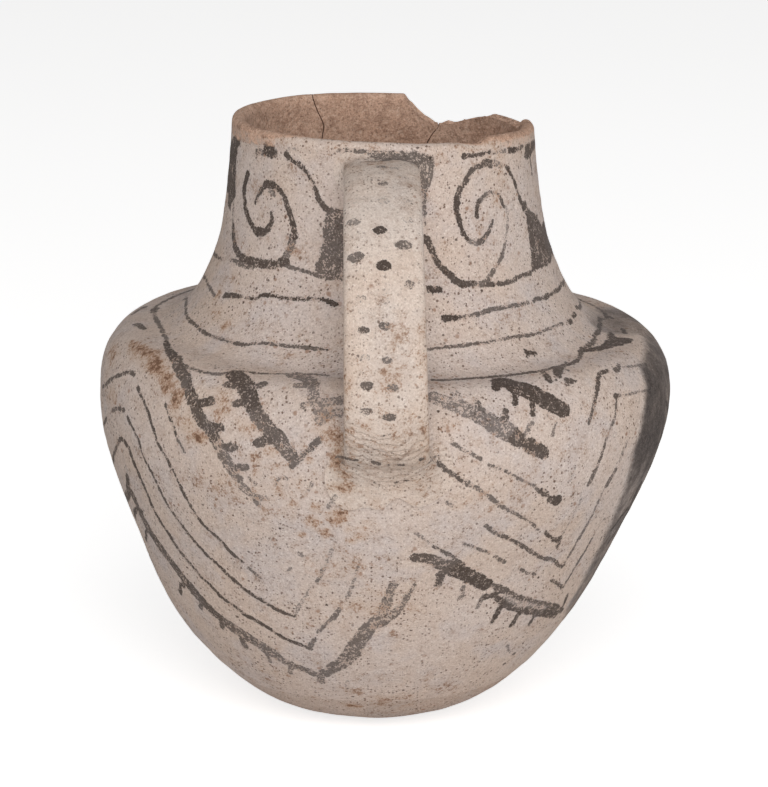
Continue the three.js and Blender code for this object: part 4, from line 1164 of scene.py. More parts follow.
# Painted areas: how worn, and their corners
NECK_LEFT_FILL = (0.15, [
    (-84, 200.5), (-76, 203.6), (-68, 204), (-67, 203), (-71, 200.5), (-72, 197), (-71.6, 194),
    (-70, 190), (-69, 187.8), (-72, 185.5), (-73, 183.4), (-78, 184), (-80, 187), (-90, 187), (-90, 199),
])
NECK_RIGHT_FILL = (0.2, [
    (61, 188.8), (63.8, 189.3), (64.5, 187.6), (67, 186), (70, 184.8), (73.5, 184), (76, 181.5),
    (79, 180), (88, 181), (92, 176), (92, 171), (84, 170.6), (75, 170), (65, 170.3), (58.3, 170.4),
    (60, 172.6), (61.6, 175), (62.2, 178), (62.7, 181), (62.7, 184.5),
])
FILLS = [
    NECK_LEFT_FILL, NECK_RIGHT_FILL,
    (0.3, [(-20.5, 190), (-8, 191), (-8, 172), (-16, 171.5), (-20, 172), (-24, 173.5), (-23.5, 176),
        (-22, 180), (-22, 184)]),
    (0.3, [(10.7, 204), (19.6, 203.8), (18.7, 201.8), (18, 199.4), (17, 197.2), (16.3, 196.2),
        (15.5, 193), (14.9, 190.1), (14.7, 186), (14.1, 190.1), (14, 193), (13.6, 195.9), (13, 199.5),
        (11.9, 202.2)]),
    (0.26, [(-18.2, 205.3), (-16.8, 207), (-13, 207.1), (-10.2, 206.9), (-7, 207.1), (-4, 206.7),
        (-1, 206.6), (2.2, 206.4), (6.8, 206.6), (10.7, 205.8), (15, 205.6), (19, 204.5), (19.6, 203.4),
        (11.9, 202.2), (8.1, 202.6), (4.9, 203.4), (1.7, 203.7), (-2.6, 204.4), (-6.4, 205),
        (-10.8, 205.3), (-15.7, 205.2)]),
    (0.05, [(55, 143.5), (58, 141.8), (62, 141), (67, 140), (70, 139), (74, 138), (77.5, 138.3),
        (76, 140.3), (74, 142), (76, 143.2), (78, 145), (74, 144.5), (70, 143.5), (64, 143), (60, 144),
        (57, 144.5)]),
    (0.0, [(38.3, 148.4), (39.3, 150.1), (40.6, 149), (42.6, 149.4), (42.3, 147.7), (40.3, 146.3),
        (39.8, 147.6), (38, 147)]),
    (0.2, [(67, 203.9), (74, 204.2), (82, 203.9), (86, 203.2), (84, 201.5), (76, 200.8), (73, 200.3),
        (70, 199.8), (67.8, 199.9), (66, 201.1), (67.5, 202.5)]),
    (0.2, [(36.8, 134.5), (38, 135), (40, 137), (42, 139.8), (45, 140), (43, 138.5), (40.5, 136.5),
        (38.5, 135)]),
    (0.2, [(39.5, 132), (41, 135), (43.5, 133.5)]),
]

# The unseen back carries the same things on: the lines round the neck's foot and two more scrolls
BACK_LINES = [
    (1.1, 1.1, 0.3, [(-86, 169.3), (-110, 170.4), (-140, 169.6), (-172, 170.5), (-205, 169.7),
        (-235, 170.4), (-268, 170.6)]),
    (1.0, 1.0, 0.3, [(-86, 162), (-112, 163), (-138, 162.2), (-168, 163.4), (-200, 162.6), (-238, 163.6),
        (-262, 163.2), (-280, 163.5)]),
    (1.0, 1.0, 0.3, [(-100, 151.8), (-128, 152.6), (-152, 153.6), (-185, 152.7), (-215, 154.1),
        (-250, 154.6), (-278, 155.5)]),
    (1.2, 1.1, 0.3, [(-104, 142.5), (-126, 143.4), (-150, 141.8), (-178, 143.6), (-208, 142.4),
        (-236, 143.8), (-256, 145)]),
    (0.9, 0.9, 0.5, [(-90, 200), (-120, 203.4), (-150, 203.8), (-184, 203.5), (-196, 203.6)]),
]
SCROLL_SHIFT = 90
NESTED_SHIFTS = (138, 199, 260)

# Stains of soil: turn, reach, half its width in degrees, half its height, how strong
SOIL = [
    (-67, 134, 5, 3, 0.8), (-61, 134, 5, 3, 0.9), (-57, 132.8, 4, 3, 1.05), (-53.5, 131.5, 3, 2.4, 1.05),
    (-50, 130, 2.4, 2, 1.05), (-48, 128, 1.8, 2.4, 0.95), (-75, 129, 6, 3, 0.6), (-45, 125, 1.8, 4, 0.75),
    (-41, 120.5, 1.7, 4, 0.75), (-38.2, 117, 2, 1.4, 1.0), (-33.5, 126.5, 2.5, 4, 0.65),
    (-27, 122.5, 3, 2, 0.65), (-22, 116.5, 2.5, 2, 0.65), (-70, 119, 3, 3, 0.6), (42, 182, 26, 18, 0.16),
    (-42, 182, 24, 18, 0.12), (-12, 123, 2.5, 3, 0.55), (-12, 127, 2.5, 3, 0.7),
    (-8.5, 117.5, 2, 6, 0.85), (-7.6, 112.5, 1.6, 1.5, 0.95), (-7.5, 108.8, 2.8, 2, 0.9),
    (-8.8, 99.5, 2.4, 2.4, 0.9), (-13.5, 102, 1.3, 1.6, 0.75), (-14, 97.5, 1.6, 2, 0.7),
    (-11.5, 94.5, 1.2, 1.5, 0.7), (-16.5, 93, 1, 1, 0.75), (-18.4, 102, 1, 1.3, 0.6),
    (-4.3, 93.5, 1.6, 1.4, 0.65), (-6, 92, 1.2, 1, 0.7), (-7, 96, 0.8, 1.6, 0.7),
    (-3.5, 97.5, 2.4, 2, 0.5), (-14.7, 115, 1, 1, 0.6), (-14, 123, 1.2, 0.8, 0.7),
    (-10.5, 122.5, 3, 3, 0.6), (-3.5, 123.5, 1.2, 0.8, 0.7), (6, 123.5, 1.6, 2, 0.6),
    (4.3, 120.8, 1.2, 1.4, 0.6), (6, 111, 1.5, 1.2, 0.5), (14.3, 102, 1.6, 1, 0.5), (7, 100.5, 2, 1, 0.4),
    (-22, 108, 8, 9, 0.42), (-34, 106, 6, 6, 0.32), (-10, 84, 9, 4, 0.4), (0, 70, 14, 8, 0.32),
    (24, 105, 10, 7, 0.28), (-14, 64, 8, 4, 0.36), (0, 30, 40, 10, 0.28), (-30, 40, 12, 6, 0.25),
    (-8, 25, 3, 1.2, 0.8), (13, 128, 3, 14, 0.4), (15, 116, 5, 5, 0.35), (30, 120, 12, 8, 0.2),
    (-60, 157, 5, 3, 0.5), (-64, 160, 2, 4, 0.6), (-58, 168, 3, 2, 0.5), (-52, 158, 5, 3, 0.35),
    (48, 201, 4, 5, 0.5), (46, 192, 2, 5, 0.4), (-34, 178, 3, 3, 0.4), (-22, 150, 6, 6, 0.3),
    (-52, 154.5, 1.5, 2, 0.7), (-33, 153, 1.5, 1.5, 0.5), (-18, 151.5, 1.2, 1.5, 0.6),
    (-13, 154, 3, 2, 0.4),
]
FIRE_CLOUD = [
    (66, 131), (75, 134), (85, 137), (100, 134), (108, 125), (110, 105), (104, 85), (95, 65), (85, 50),
    (70, 48), (62, 56), (61, 75), (59, 95), (58.5, 108), (61, 118), (63.5, 125),
]
# A greyer band along the right shoulder, above the fire cloud: its corners
SHOULDER_GREY_BAND = [
    (77, 151), (92, 152), (110, 146), (114, 130), (100, 130), (86, 134), (79, 139), (75, 146),
]

# Dots on the strap: across, along, half their width and length, how worn
STRAP_DOTS = [
    (0, 12.2, 1.6, 1.2, 0.4), (3.2, 12.5, 1.2, 0.7, 0.75), (-8.4, 5.9, 1.5, 3.0, 0.6),
    (0.2, 21.2, 1.3, 1.1, 0.4), (5.6, 18, 1.3, 0.9, 0.75), (-7.1, 27.3, 1.5, 1.0, 0.75),
    (0.2, 27.7, 1.4, 1.0, 0.75), (6.2, 27.5, 1.5, 1.0, 0.75), (-7.5, 34.3, 1.7, 1.1, 0.55),
    (6.4, 33.5, 1.4, 1.0, 0.75), (-0.9, 36.9, 1.8, 1.3, 0.1), (5.2, 40.9, 2.1, 1.3, 0.35),
    (-7, 44, 2.1, 1.4, 0.35), (-0.1, 46.3, 2.1, 1.3, 0.1), (6.4, 50.9, 1.4, 1.2, 0.4),
    (-6, 54.4, 1.3, 0.9, 0.7), (0.4, 54, 0.9, 2.0, 0.75), (-5.5, 62, 1.5, 0.9, 0.2),
    (0.1, 61, 1.6, 1.1, 0.25), (-5.4, 68.5, 1.4, 0.8, 0.75), (0.4, 69.2, 1.5, 0.8, 0.3),
    (-4.8, 75.3, 1.6, 1.0, 0.2), (1.7, 75.8, 1.6, 1.0, 0.35), (-4.8, 81.5, 1.7, 0.8, 0.3),
    (0.75, 82.9, 2.1, 0.9, 0.2),
]
DOT_GAIN = 2.2  # a dot's middle counts as deeper than it is
DASH_WEAR = 0.2
FAN_CENTRE = (3.9, -2)  # of the wrinkles round the strap's foot, as the dashes
FOOT_DASHES = [  # round the strap's foot: half width, then across and up from the view's middle, at 1 m
    (0.28, [(-10.1, -17), (-7, -17.2), (-4, -17.9)]),
    (0.45, [(0, -18.5), (1.8, -18.8)]),
    (0.24, [(3.5, -19.1), (4.4, -19.1)]),
    (0.2, [(5.8, -19.1), (8.4, -19.2)]),
    (0.4, [(12.7, -17.6), (13.9, -17.4)]),
    (0.15, [(15.4, -17), (18, -16.5)]),
    (0.2, [(0.2, -23.6), (1.8, -24.7)]),
    (0.2, [(5.9, -23.9), (10.5, -22.9)]),
    (0.3, [(14.8, -25.6), (16, -25.2)]),
    (0.2, [(1.7, -11.6), (5.1, -10.8)]),
]


# The places above were read on an outline with these rings under the neck; they are carried over to
# the outline as built along the camera's line of sight.
READ_OUTLINE = Outline(list(dict(
    RINGS, under_belly=(77.2, 77.6), shoulder_edge=(76.9, 100.7), shoulder=(70.6, 107.2),
    collar=(59.4, 110.7), neck_root=(53.4, 114.5), neck_foot=(49.3, 121),
).values()))
SIDE_TURN = 96  # beyond this the camera sees nothing, and places stay as they were read


def seen(points):
    """Where the camera sees points, in thousandths of their depth."""
    pitch = math.radians(CAMERA_PITCH)
    x, y, z = np.moveaxis(points - np.array(CAMERA_PLACE) / MM, -1, 0)
    depth = y * math.cos(pitch) - z * math.sin(pitch)
    up = y * math.sin(pitch) + z * math.cos(pitch)
    return np.stack([x / depth, up / depth], -1) / MM


def carried(places):
    """Moves places until the camera sees them, on the outline as built, where they were read."""
    tries = 10  # how many small steps make a degree or a millimetre
    damping = 0.02
    turn, read_reach = np.array(places, float).T
    reach = np.interp(read_reach, READ_OUTLINE.ring_reach, OUTLINE.ring_reach)
    aim = seen(wall_point(turn, read_reach, outline=READ_OUTLINE))
    now = np.stack([turn, reach], -1)
    for _ in range(8):
        here = seen(wall_point(*now.T))
        moved = [seen(wall_point(*(now + step).T)) - here for step in ((1 / tries, 0), (0, 1 / tries))]
        steps = np.stack(moved, -1) * tries
        pull = np.einsum("nij,ni->nj", steps, aim - here)
        square = np.einsum("nij,nik->njk", steps, steps) + np.diag((damping, damping))
        now = now + np.clip(np.linalg.solve(square, pull[..., None])[..., 0], -1, 1)
    facing = (np.abs(turn) < SIDE_TURN)[:, None]
    return np.where(facing, now, np.stack([turn, reach], -1))


def turned_by(places, degrees):
    return [(turn + degrees, reach) for turn, reach in places]


def strokes_turned(strokes, degrees):
    return [(first, last, worn, turned_by(places, degrees)) for first, last, worn, places in strokes]


def all_strokes():
    front = (NECK_LEFT_SCROLL + NECK_LEFT_FRAME + NECK_RIGHT_SCROLL + NECK_RIGHT_FRAME + SHOULDER_LINES
             + BODY_LEFT_TOP + NESTED_LINES + TICKED_BAND + BODY_LEFT_PLATEAU + BODY_RIGHT)
    back = BACK_LINES + strokes_turned(NECK_RIGHT_SCROLL, SCROLL_SHIFT)
    back = back + strokes_turned(NECK_LEFT_SCROLL, -SCROLL_SHIFT)
    for shift in NESTED_SHIFTS:
        back += strokes_turned(NESTED_LINES + TICKED_BAND, shift)
    return front + back


def all_fills():
    back = [(NECK_LEFT_FILL, -SCROLL_SHIFT), (NECK_RIGHT_FILL, SCROLL_SHIFT)]
    return FILLS + [(worn, turned_by(corners, shift)) for (worn, corners), shift in back]


def to_segment(start, end):
    """Distance from places to a segment, and how far along it they are; all given from each place."""
    ax, ay = start
    bx, by = end
    dx, dy = bx - ax, by - ay
    along = np.clip(-(ax * dx + ay * dy) / np.maximum(dx * dx + dy * dy, 1e-9), 0, 1)
    return np.hypot(ax + along * dx, ay + along * dy), along


UNPAINTED = 5.0  # the largest distance from the painting that is told apart
FAR = 1000.0
PLAIN_WEAR = 0.3
MARGIN = 3  # how far from a stroke or an area its distance is worked out
INNER_GAIN = 1.7  # the middle of a stroke counts as deeper than it is, so that it is the last to go


def unpainted(count):
    return np.full(count, UNPAINTED), np.full(count, PLAIN_WEAR)


def signed(turn):
    """The same angle from -180 to 180 degrees."""
    return (turn + 180) % 360 - 180


def near_places(turn, reach, points, margin):
    """The places near some points, and their turn from the points' middle one."""
    middle = (points[:, 0].min() + points[:, 0].max()) / 2
    aside = signed(turn - middle)
    wide = (points[:, 0].max() - points[:, 0].min()) / 2 + math.degrees(margin / RINGS["foot"][0])
    near = (reach > points[:, 1].min() - margin) & (reach < points[:, 1].max() + margin)
    near = np.flatnonzero(near & (np.abs(aside) < wide))
    return near, aside[near], points - (middle, 0)


def painted(turn, reach, strokes, fills):
    """How far each place of the wall is outside the painting, in millimetres, and how worn it is there."""
    paint, worn = unpainted(len(turn))
    scale = np.radians(outline_at(reach)[0])

    def lay(near, distance, wear):
        closer = distance < paint[near]
        paint[near[closer]] = distance[closer]
        worn[near[closer]] = wear

    for first_width, last_width, wear, points in strokes:
        points = carried(points)
        curve = catmull_rom(points, CURVE_STEPS) if len(points) > 2 else points
        near, aside, curve = near_places(turn, reach, curve, MARGIN + max(first_width, last_width))
        if not len(near):
            continue
        k, up = scale[near], reach[near]
        total = lengths_along(curve)
        best, width = np.full(len(near), FAR), np.full(len(near), first_width)
        for i in range(len(curve) - 1):
            ends = [((t - aside) * k, s - up) for t, s in curve[i:i + 2]]
            distance, along = to_segment(*ends)
            share = (total[i] + along * (total[i + 1] - total[i])) / total[-1]
            closer = distance < best
            best[closer] = distance[closer]
            width[closer] = (first_width + (last_width - first_width) * share)[closer]
        half = width / 2
        deep = (best ** 2 - half ** 2) / (2 * half)
        lay(near, np.where(best < half, INNER_GAIN * deep, np.minimum(deep, best)), wear)

    for wear, corners in fills:
        near, aside, corners = near_places(turn, reach, carried(corners), MARGIN)
        if not len(near):
            continue
        k, up = scale[near], reach[near]
        best, inside = np.full(len(near), FAR), np.zeros(len(near), bool)
        for start, end in zip(corners, np.roll(corners, -1, axis=0)):
            ends = [((t - aside) * k, s - up) for t, s in (start, end)]
            best = np.minimum(best, to_segment(*ends)[0])
            crosses = (start[1] > up) != (end[1] > up)
            at = start[0] + (up - start[1]) / (end[1] - start[1] + 1e-9) * (end[0] - start[0])
            inside ^= crosses & (aside < at)
        lay(near, np.where(inside, -best, best), wear)
    return np.clip(paint, -UNPAINTED, UNPAINTED), worn


def soiled(turn, reach):
    amount = np.zeros(len(turn))
    centres = carried([stain[:2] for stain in SOIL])
    for (at_turn, at_reach), (_, _, wide, high, strength) in zip(centres, SOIL):
        aside = signed(turn - at_turn) / wide
        amount = np.maximum(amount, strength * np.exp(-(aside ** 2 + ((reach - at_reach) / high) ** 2) * 0.7))
    return amount


def smoked(turn, reach):
    """The fire cloud: darkest along its left edge, thinner further in and low down, and a greyer band along
    the shoulder above it.
    """
    inside, _ = painted(turn, reach, [], [(0, FIRE_CLOUD)])
    grey_band, _ = painted(turn, reach, [], [(0, SHOULDER_GREY_BAND)])
    thinner = 1 - 0.25 * smooth(signed(turn), 70, 90) - 0.3 * smooth(-reach, -104, -92)
    return np.maximum(smooth(-inside, -2.5, 3) * thinner, 0.6 * smooth(-grey_band, -3, 4))


STROKES = all_strokes()
PAINTED_AREAS = all_fills()


def swap_attributes(mesh, **layers):
    """Gives a mesh what its finish reads, in place of what it was made with."""
    for name in [layer.name for layer in mesh.attributes if layer.data_type == "FLOAT"]:
        mesh.attributes.remove(mesh.attributes[name])
    for name, values in layers.items():
        set_attribute(mesh, name, values)


def dress_wall(mesh, turn, reach, skin):
    """Lays the painting, its wear, soil and smoke on the slipped side, and rubs the skin off the lip."""
    outside = np.flatnonzero(skin > 0.4)
    lip = smooth(reach, *(OUTLINE_LENGTH + along for along in LIP_BAND))
    signed_turn = signed(turn)
    at_side = smooth(np.abs(signed_turn), *LIP_SIDES)
    rubbed_from = OUTLINE_LENGTH - np.interp(signed_turn, *zip(*LIP_RUBBED))
    rubbed = smooth(reach, rubbed_from - RUBBED_EDGE, rubbed_from + RUBBED_EDGE)
    bared = np.where(signed_turn < 0, 0.36, 0.26) * at_side  # more on the left
    skin = skin + 0.22 * lip * (1 - at_side) - bared * rubbed
    paint, worn = unpainted(len(turn))
    soil, smoke = np.zeros(len(turn)), np.zeros(len(turn))
    if len(outside):
        paint[outside], worn[outside] = painted(turn[outside], reach[outside], STROKES, PAINTED_AREAS)
        rubbed_lip = lip * (0.22 + 0.3 * at_side)
        soil[outside] = np.maximum(soiled(turn[outside], reach[outside]), rubbed_lip[outside])
        smoke[outside] = smoked(turn[outside], reach[outside])
    swap_attributes(mesh, paint=paint, worn=worn, soil=soil, smoke=smoke, skin=skin)


def raise_lip(mesh):
    """Raises the near lip over its plain course, as far as the top of the part's box."""
    points = vertex_points(mesh)
    x, y, z = points.T / MM
    turn = np.degrees(np.arctan2(x - lean_at(z), -y))
    near_top = smooth(z + dip_at(z) * x, *(RIM_HEIGHT - below for below in LIP_RISE_RANGE))
    rise = np.interp(turn, *zip(*LIP_RISE)) * near_top
    highest = cad_high[2] - LIP_CLEARANCE * MM
    points[:, 2] = np.minimum(points[:, 2] + rise * MM, np.maximum(points[:, 2], highest))
    mesh.vertices.foreach_set("co", points.ravel())
    mesh.update()


def dress_turned(piece):
    mesh = piece.data
    raise_lip(mesh)
    dress_wall(mesh, get_attribute(mesh, "turn"), get_attribute(mesh, "reach"), get_attribute(mesh, "skin"))


def foot_dashes(points):
    """How far points are outside the dashes round the strap's foot, as the camera sees them."""
    across, up = seen(points).T
    nearest = np.full(len(points), UNPAINTED)
    for half, places in FOOT_DASHES:
        for start, end in zip(places, places[1:]):
            distance, _ = to_segment(*((a - across, u - up) for a, u in (start, end)))
            nearest = np.minimum(nearest, 2 * (distance - half))
    return nearest


def wrinkle(mesh):
    """Gives a mesh its distance from the middle of the wrinkles, and how far it is wrinkled."""
    across, up = (seen(vertex_points(mesh) / MM) - FAN_CENTRE).T
    # The wrinkles bend a little wider than circles, and run below the foot from about 8 to 25 out
    fan = np.hypot(across * 0.82, up)
    here = smooth(fan, 8, 11) * smooth(-fan, -25, -20) * smooth(-up, 1, 5)
    set_attribute(mesh, "fan", fan)
    set_attribute(mesh, "wrinkled", here)


def dress_strap(piece):
    mesh = piece.data
    along, across, out = (get_attribute(mesh, name) for name in ("along", "across", "out"))
    width = STRAP_TOP_WIDTH + (STRAP_FOOT_WIDTH - STRAP_TOP_WIDTH) * along / PATH_LENGTH
    x = across * width / 2
    paint, worn = unpainted(len(x))

    def lay(distance, wear):
        closer = (distance < paint) & (out > 0)
        paint[closer] = distance[closer]
        worn[closer] = wear

    for at_x, at_y, wide, long, wear in STRAP_DOTS:
        lay((np.hypot((x - at_x) / wide, (along - at_y) / long) - 1) * min(wide, long) * DOT_GAIN, wear)
    lay(foot_dashes(vertex_points(mesh) / MM), DASH_WEAR)
    # Darker and browner down towards the foot, along the edges and near the top under the rim
    soil = 0.32 * smooth(along, 45, 86) + 0.18 * smooth(np.abs(across), 0.6, 0.95)
    soil = np.maximum(soil, 0.3 * smooth(-along, -24, -8))
    swap_attributes(mesh, paint=np.clip(paint, -UNPAINTED, UNPAINTED), worn=worn, soil=soil,
                    smoke=0 * soil, skin=0 * soil + 1)
    wrinkle(mesh)


def dress_smear(piece, soil):
    mesh = piece.data
    turn, reach = place_on_wall(vertex_points(mesh) / MM)
    dress_wall(mesh, turn, reach, np.ones(len(turn)))
    paint, dashes = get_attribute(mesh, "paint"), foot_dashes(vertex_points(mesh) / MM)
    set_attribute(mesh, "paint", np.minimum(paint, dashes))
    set_attribute(mesh, "worn", np.where(dashes < paint, DASH_WEAR, get_attribute(mesh, "worn")))
    set_attribute(mesh, "soil", np.maximum(get_attribute(mesh, "soil"), soil))
    wrinkle(mesh)


def dress_bare(piece):
    mesh = piece.data
    count = len(mesh.vertices)
    dress_wall(mesh, np.zeros(count), np.zeros(count), np.zeros(count))


# The finish: slip over bare clay, painting, wear, soil and smoke, with the clay's grain

def tone(red, green, blue):
    """A colour written as it looks on a screen, from 0 to 255."""
    shares = [value / 255 for value in (red, green, blue)]
    linear = [share / 12.92 if share <= 0.04045 else ((share + 0.055) / 1.055) ** 2.4 for share in shares]
    return (*linear, 1.0)


SLIPS = {  # plain, warm and cool tone of the skin, how specked and how soiled
    "painted_slip": (tone(210, 194, 185), tone(208, 188, 174), tone(202, 189, 184), 1.0, 1.0),
    "worn_slip": (tone(200, 182, 171), tone(192, 170, 155), tone(188, 174, 166), 1.1, 1.1),
    # the strap's copy of the slip is lighter and warmer: partly its own tone, partly painted light against
    # the shade on its upturned top
    "strap_slip": (tone(216, 201, 190), tone(215, 195, 180), tone(207, 193, 184), 0.8, 1.0),
    "bare_clay": (tone(188, 154, 130), tone(172, 136, 111), tone(160, 130, 110), 1.0, 0.5),
}
TONES = {
    "slip_shade": tone(184, 158, 141),
    "slip_mottle": tone(172, 148, 133),
    "slip_grain": tone(142, 120, 107),
    "slip_chalk": tone(240, 229, 220),
    "rust": tone(148, 110, 86),
    "dust": tone(130, 106, 91),
    "pepper": tone(98, 75, 61),
    "grit": tone(74, 56, 47),
    "soil_veil": tone(190, 160, 135),
    "soil": tone(160, 122, 95),
    "soil_crust": tone(106, 75, 57),
    "soil_blot": tone(118, 90, 72),
    # painted shade, darkening the creases of the smeared clay
    "shaded_crease": tone(146, 120, 102),
    "paint": tone(66, 54, 47),
    "thin_paint": tone(102, 93, 89),
    "paint_mottle": tone(124, 112, 105),
    "paint_grain": tone(148, 135, 127),
    "paint_depth": tone(46, 37, 32),
    "smoke": tone(44, 38, 36),
    "thin_smoke": tone(82, 74, 71),
    "ash": tone(122, 112, 107),
    "clay": tone(215, 180, 158),
    "warm_clay": tone(203, 164, 140),
    "clay_shade": tone(154, 120, 100),
    "clay_mottle": tone(142, 109, 91),
    "clay_light": tone(226, 196, 175),
    "clay_grain": tone(112, 86, 72),
    "clay_chalk": tone(226, 200, 180),
    "temper": tone(84, 62, 52),
}
SPECKS = {  # size of a cell, share of cells with a speck, the largest in cells, softness, how strong
    "rust": (2.8, 0.5, 0.3, 0.12, 0.75),
    "dust": (0.55, 0.5, 0.5, 0.1, 0.6),
    "pepper": (0.95, 0.7, 0.4, 0.07, 0.85),
    "grit": (1.7, 0.32, 0.25, 0.05, 0.9),
}


class Clay(Nodes):
    """The node tree of a clay material, with the noises that its parts share."""

    def __init__(self, tree):
        super().__init__(tree)
        self.place = self.node("ShaderNodeTexCoord").outputs["Object"]
        wander = self.node("ShaderNodeTexNoise",
                           {"Vector": self.place, "Scale": 1 / (0.6 * MM), "Detail": 1.0})
        shift = self.node("ShaderNodeVectorMath", {0: wander.outputs["Color"], "Scale": 0.45 * MM},
                          operation="SCALE")
        self.ragged_place = self.vector("ADD", self.place, shift.outputs[0])
        self.large = self.noise(self.place, 30, detail=3.0, roughness=0.55)
        self.broad = self.noise(self.place, 11, detail=3.0, roughness=0.5)
        self.middle = self.noise(self.place, 4.5, detail=4.0, roughness=0.6)
        self.small = self.noise(self.place, 1.5, detail=3.0, roughness=0.6)
        self.fine = self.noise(self.place, 0.5, detail=2.0, roughness=0.7)

    def reading(self, attribute):
        return self.node("ShaderNodeAttribute", attribute_name=attribute).outputs["Fac"]

    def specks(self, cell, share, radius, soft=0.12):
        """Ragged dots: a cell's size, the share of cells with one, and the largest, as a share of a cell."""
        cells = self.cells(self.ragged_place, cell)
        chance = self.node("ShaderNodeSeparateColor", {"Color": cells.outputs["Color"]}).outputs[0]
        reach = self.remap(chance, 1 - share, 1.0, 0.0, radius)
        inside = self.math("SUBTRACT", reach, cells.outputs["Distance"])
        return self.remap(inside, -0.02, soft)

    def layered(self, ground, *layers):
        """Lays tones over a ground, each where its noise runs from low to high, up to its strength."""
        for noise, low, high, strength, over in layers:
            ground = self.mix(self.remap(noise, low, high, 0.0, strength), ground, TONES[over])
        return ground

    def touched(self, ground, where, strength, over):
        return self.mix(self.math("MULTIPLY", where, strength), ground, TONES[over])

    def swayed(self, value, **strengths):
        """A value with each noise, centred, added at its strength."""
        for name, strength in strengths.items():
            noise = self.math("SUBTRACT", getattr(self, name), 0.5)
            value = self.math("MULTIPLY_ADD", noise, strength, value)
        return value


def slipped_skin(clay, plain, warm, cool, speckled, soil):
    """The slip, with its temper showing through as dark and rusty specks, and those specks."""
    ground = clay.mix(clay.remap(clay.large, 0.38, 0.62, 0.0, 1.0), plain, warm)
    ground = clay.mix(clay.remap(clay.broad, 0.48, 0.66, 0.0, 0.85), ground, cool)
    ground = clay.layered(
        ground,
        (clay.middle, 0.5, 0.72, 0.45, "slip_shade"),
        (clay.small, 0.5, 0.72, 0.45, "slip_mottle"),
        (clay.fine, 0.54, 0.76, 0.5, "slip_grain"),
        (clay.fine, 0.46, 0.26, 0.7, "slip_chalk"),
    )
    crowd = clay.remap(clay.noise(clay.place, 13, detail=4.0), 0.4, 0.62, 0.42, 1.0)
    crowd = clay.math("MINIMUM", clay.math("MULTIPLY_ADD", soil, 0.9, crowd), 1.0)
    crowd = clay.math("MULTIPLY", crowd, speckled)
    specks = {}
    for name, (cell, share, radius, soft, strength) in SPECKS.items():
        specks[name] = clay.math("MULTIPLY", clay.specks(cell, share, radius, soft), crowd)
        ground = clay.touched(ground, specks[name], strength, name)
    return ground, specks


def stained(clay, ground, soil):
    """Soil stains, in patches with grainy edges and dark crusts."""
    veil = clay.swayed(soil, broad=1.0, middle=0.8)
    patchy = clay.swayed(soil, broad=0.9, middle=1.8, small=1.8, fine=1.4)
    ground = clay.layered(
        ground,
        (veil, 0.15, 0.8, 0.55, "soil_veil"),
        (patchy, 0.5, 0.85, 0.7, "soil"),
        (patchy, 0.86, 1.12, 0.85, "soil_crust"),
    )
    blots = clay.math("MULTIPLY", clay.specks(2.6, 0.7, 0.3, soft=0.1), clay.remap(patchy, 0.1, 0.5))
    return clay.touched(ground, blots, 0.65, "soil_blot")


def creases(clay):
    """The creases in the smeared clay, which run round the middle of the wrinkles; they are darkened in
    colour as painted shade.
    """
    ripple = clay.swayed(clay.reading("fan"), broad=8.0, middle=2.4, small=0.8)
    wave = clay.math("SINE", clay.math("MULTIPLY", ripple, 4.4))
    return clay.math("MULTIPLY", clay.remap(wave, 0.2, 1.0), clay.reading("wrinkled"))


def paint_layer(clay, soil):
    """How far the paint covers, ragged at its edges and rubbed through in places, and its colour."""
    laid = clay.remap(clay.swayed(clay.reading("paint"), middle=1.7, small=2.2, fine=1.8), 0.11, -0.17)
    worn = clay.math("MULTIPLY_ADD", soil, 0.25, clay.reading("worn"))
    kept = clay.remap(clay.swayed(worn, middle=1.3, small=1.8, fine=2.6), 0.72, 0.42)
    thin = clay.remap(worn, 0.1, 0.8, 0.97, 0.6)
    cover = clay.math("MULTIPLY", clay.math("MULTIPLY", laid, kept), thin)
    pigment = clay.layered(
        TONES["paint"],
        (clay.swayed(worn, broad=0.7), 0.18, 0.52, 1.0, "thin_paint"),
        (clay.small, 0.5, 0.7, 0.5, "paint_mottle"),
        (clay.fine, 0.56, 0.72, 0.65, "paint_grain"),
        (clay.fine, 0.5, 0.34, 0.85, "paint_depth"),
    )
    return cover, pigment


def smoke_layer(clay):
    """How far the smoke covers, and its colour."""
    clouded = clay.swayed(clay.reading("smoke"), broad=0.5, middle=0.7, small=0.5, fine=0.5)
    smoke = clay.layered(
        TONES["smoke"],
        (clay.small, 0.38, 0.66, 1.0, "thin_smoke"),
        (clay.fine, 0.5, 0.7, 0.7, "ash"),
    )
    return clay.remap(clouded, 0.1, 0.95, 0.0, 0.95), smoke


def bare_grain(clay):
    """The bare clay's colour, where the skin ends."""
    grain = clay.layered(
        TONES["clay"],
        (clay.large, 0.35, 0.65, 1.0, "warm_clay"),
        (clay.middle, 0.46, 0.68, 0.6, "clay_shade"),
        (clay.small, 0.5, 0.72, 0.6, "clay_mottle"),
        (clay.small, 0.46, 0.3, 0.5, "clay_light"),
        (clay.fine, 0.52, 0.74, 0.75, "clay_grain"),
        (clay.fine, 0.46, 0.28, 0.7, "clay_chalk"),
    )
    return clay.touched(grain, clay.specks(1.3, 0.35, 0.3), 0.7, "temper")


def relief_of(clay, slipped, shaded_crease, specks, cover):
    """Relief, in millimetres: pits at the specks, and a coarser face on the bare clay."""
    relief = clay.math("MULTIPLY", clay.fine, 0.16)
    relief = clay.math("MULTIPLY_ADD", clay.small, 0.22, relief)
    relief = clay.math("MULTIPLY_ADD", clay.middle, 0.16, relief)
    rough_clay = clay.math("MULTIPLY", clay.remap(slipped, 0.0, 1.0, 0.4, 0.0), clay.small)
    relief = clay.math("ADD", relief, rough_clay)
    for where, height in ((shaded_crease, -0.14), (specks["grit"], -0.14), (specks["pepper"], -0.06), (cover, 0.02)):
        relief = clay.math("MULTIPLY_ADD", where, height, relief)
    return relief


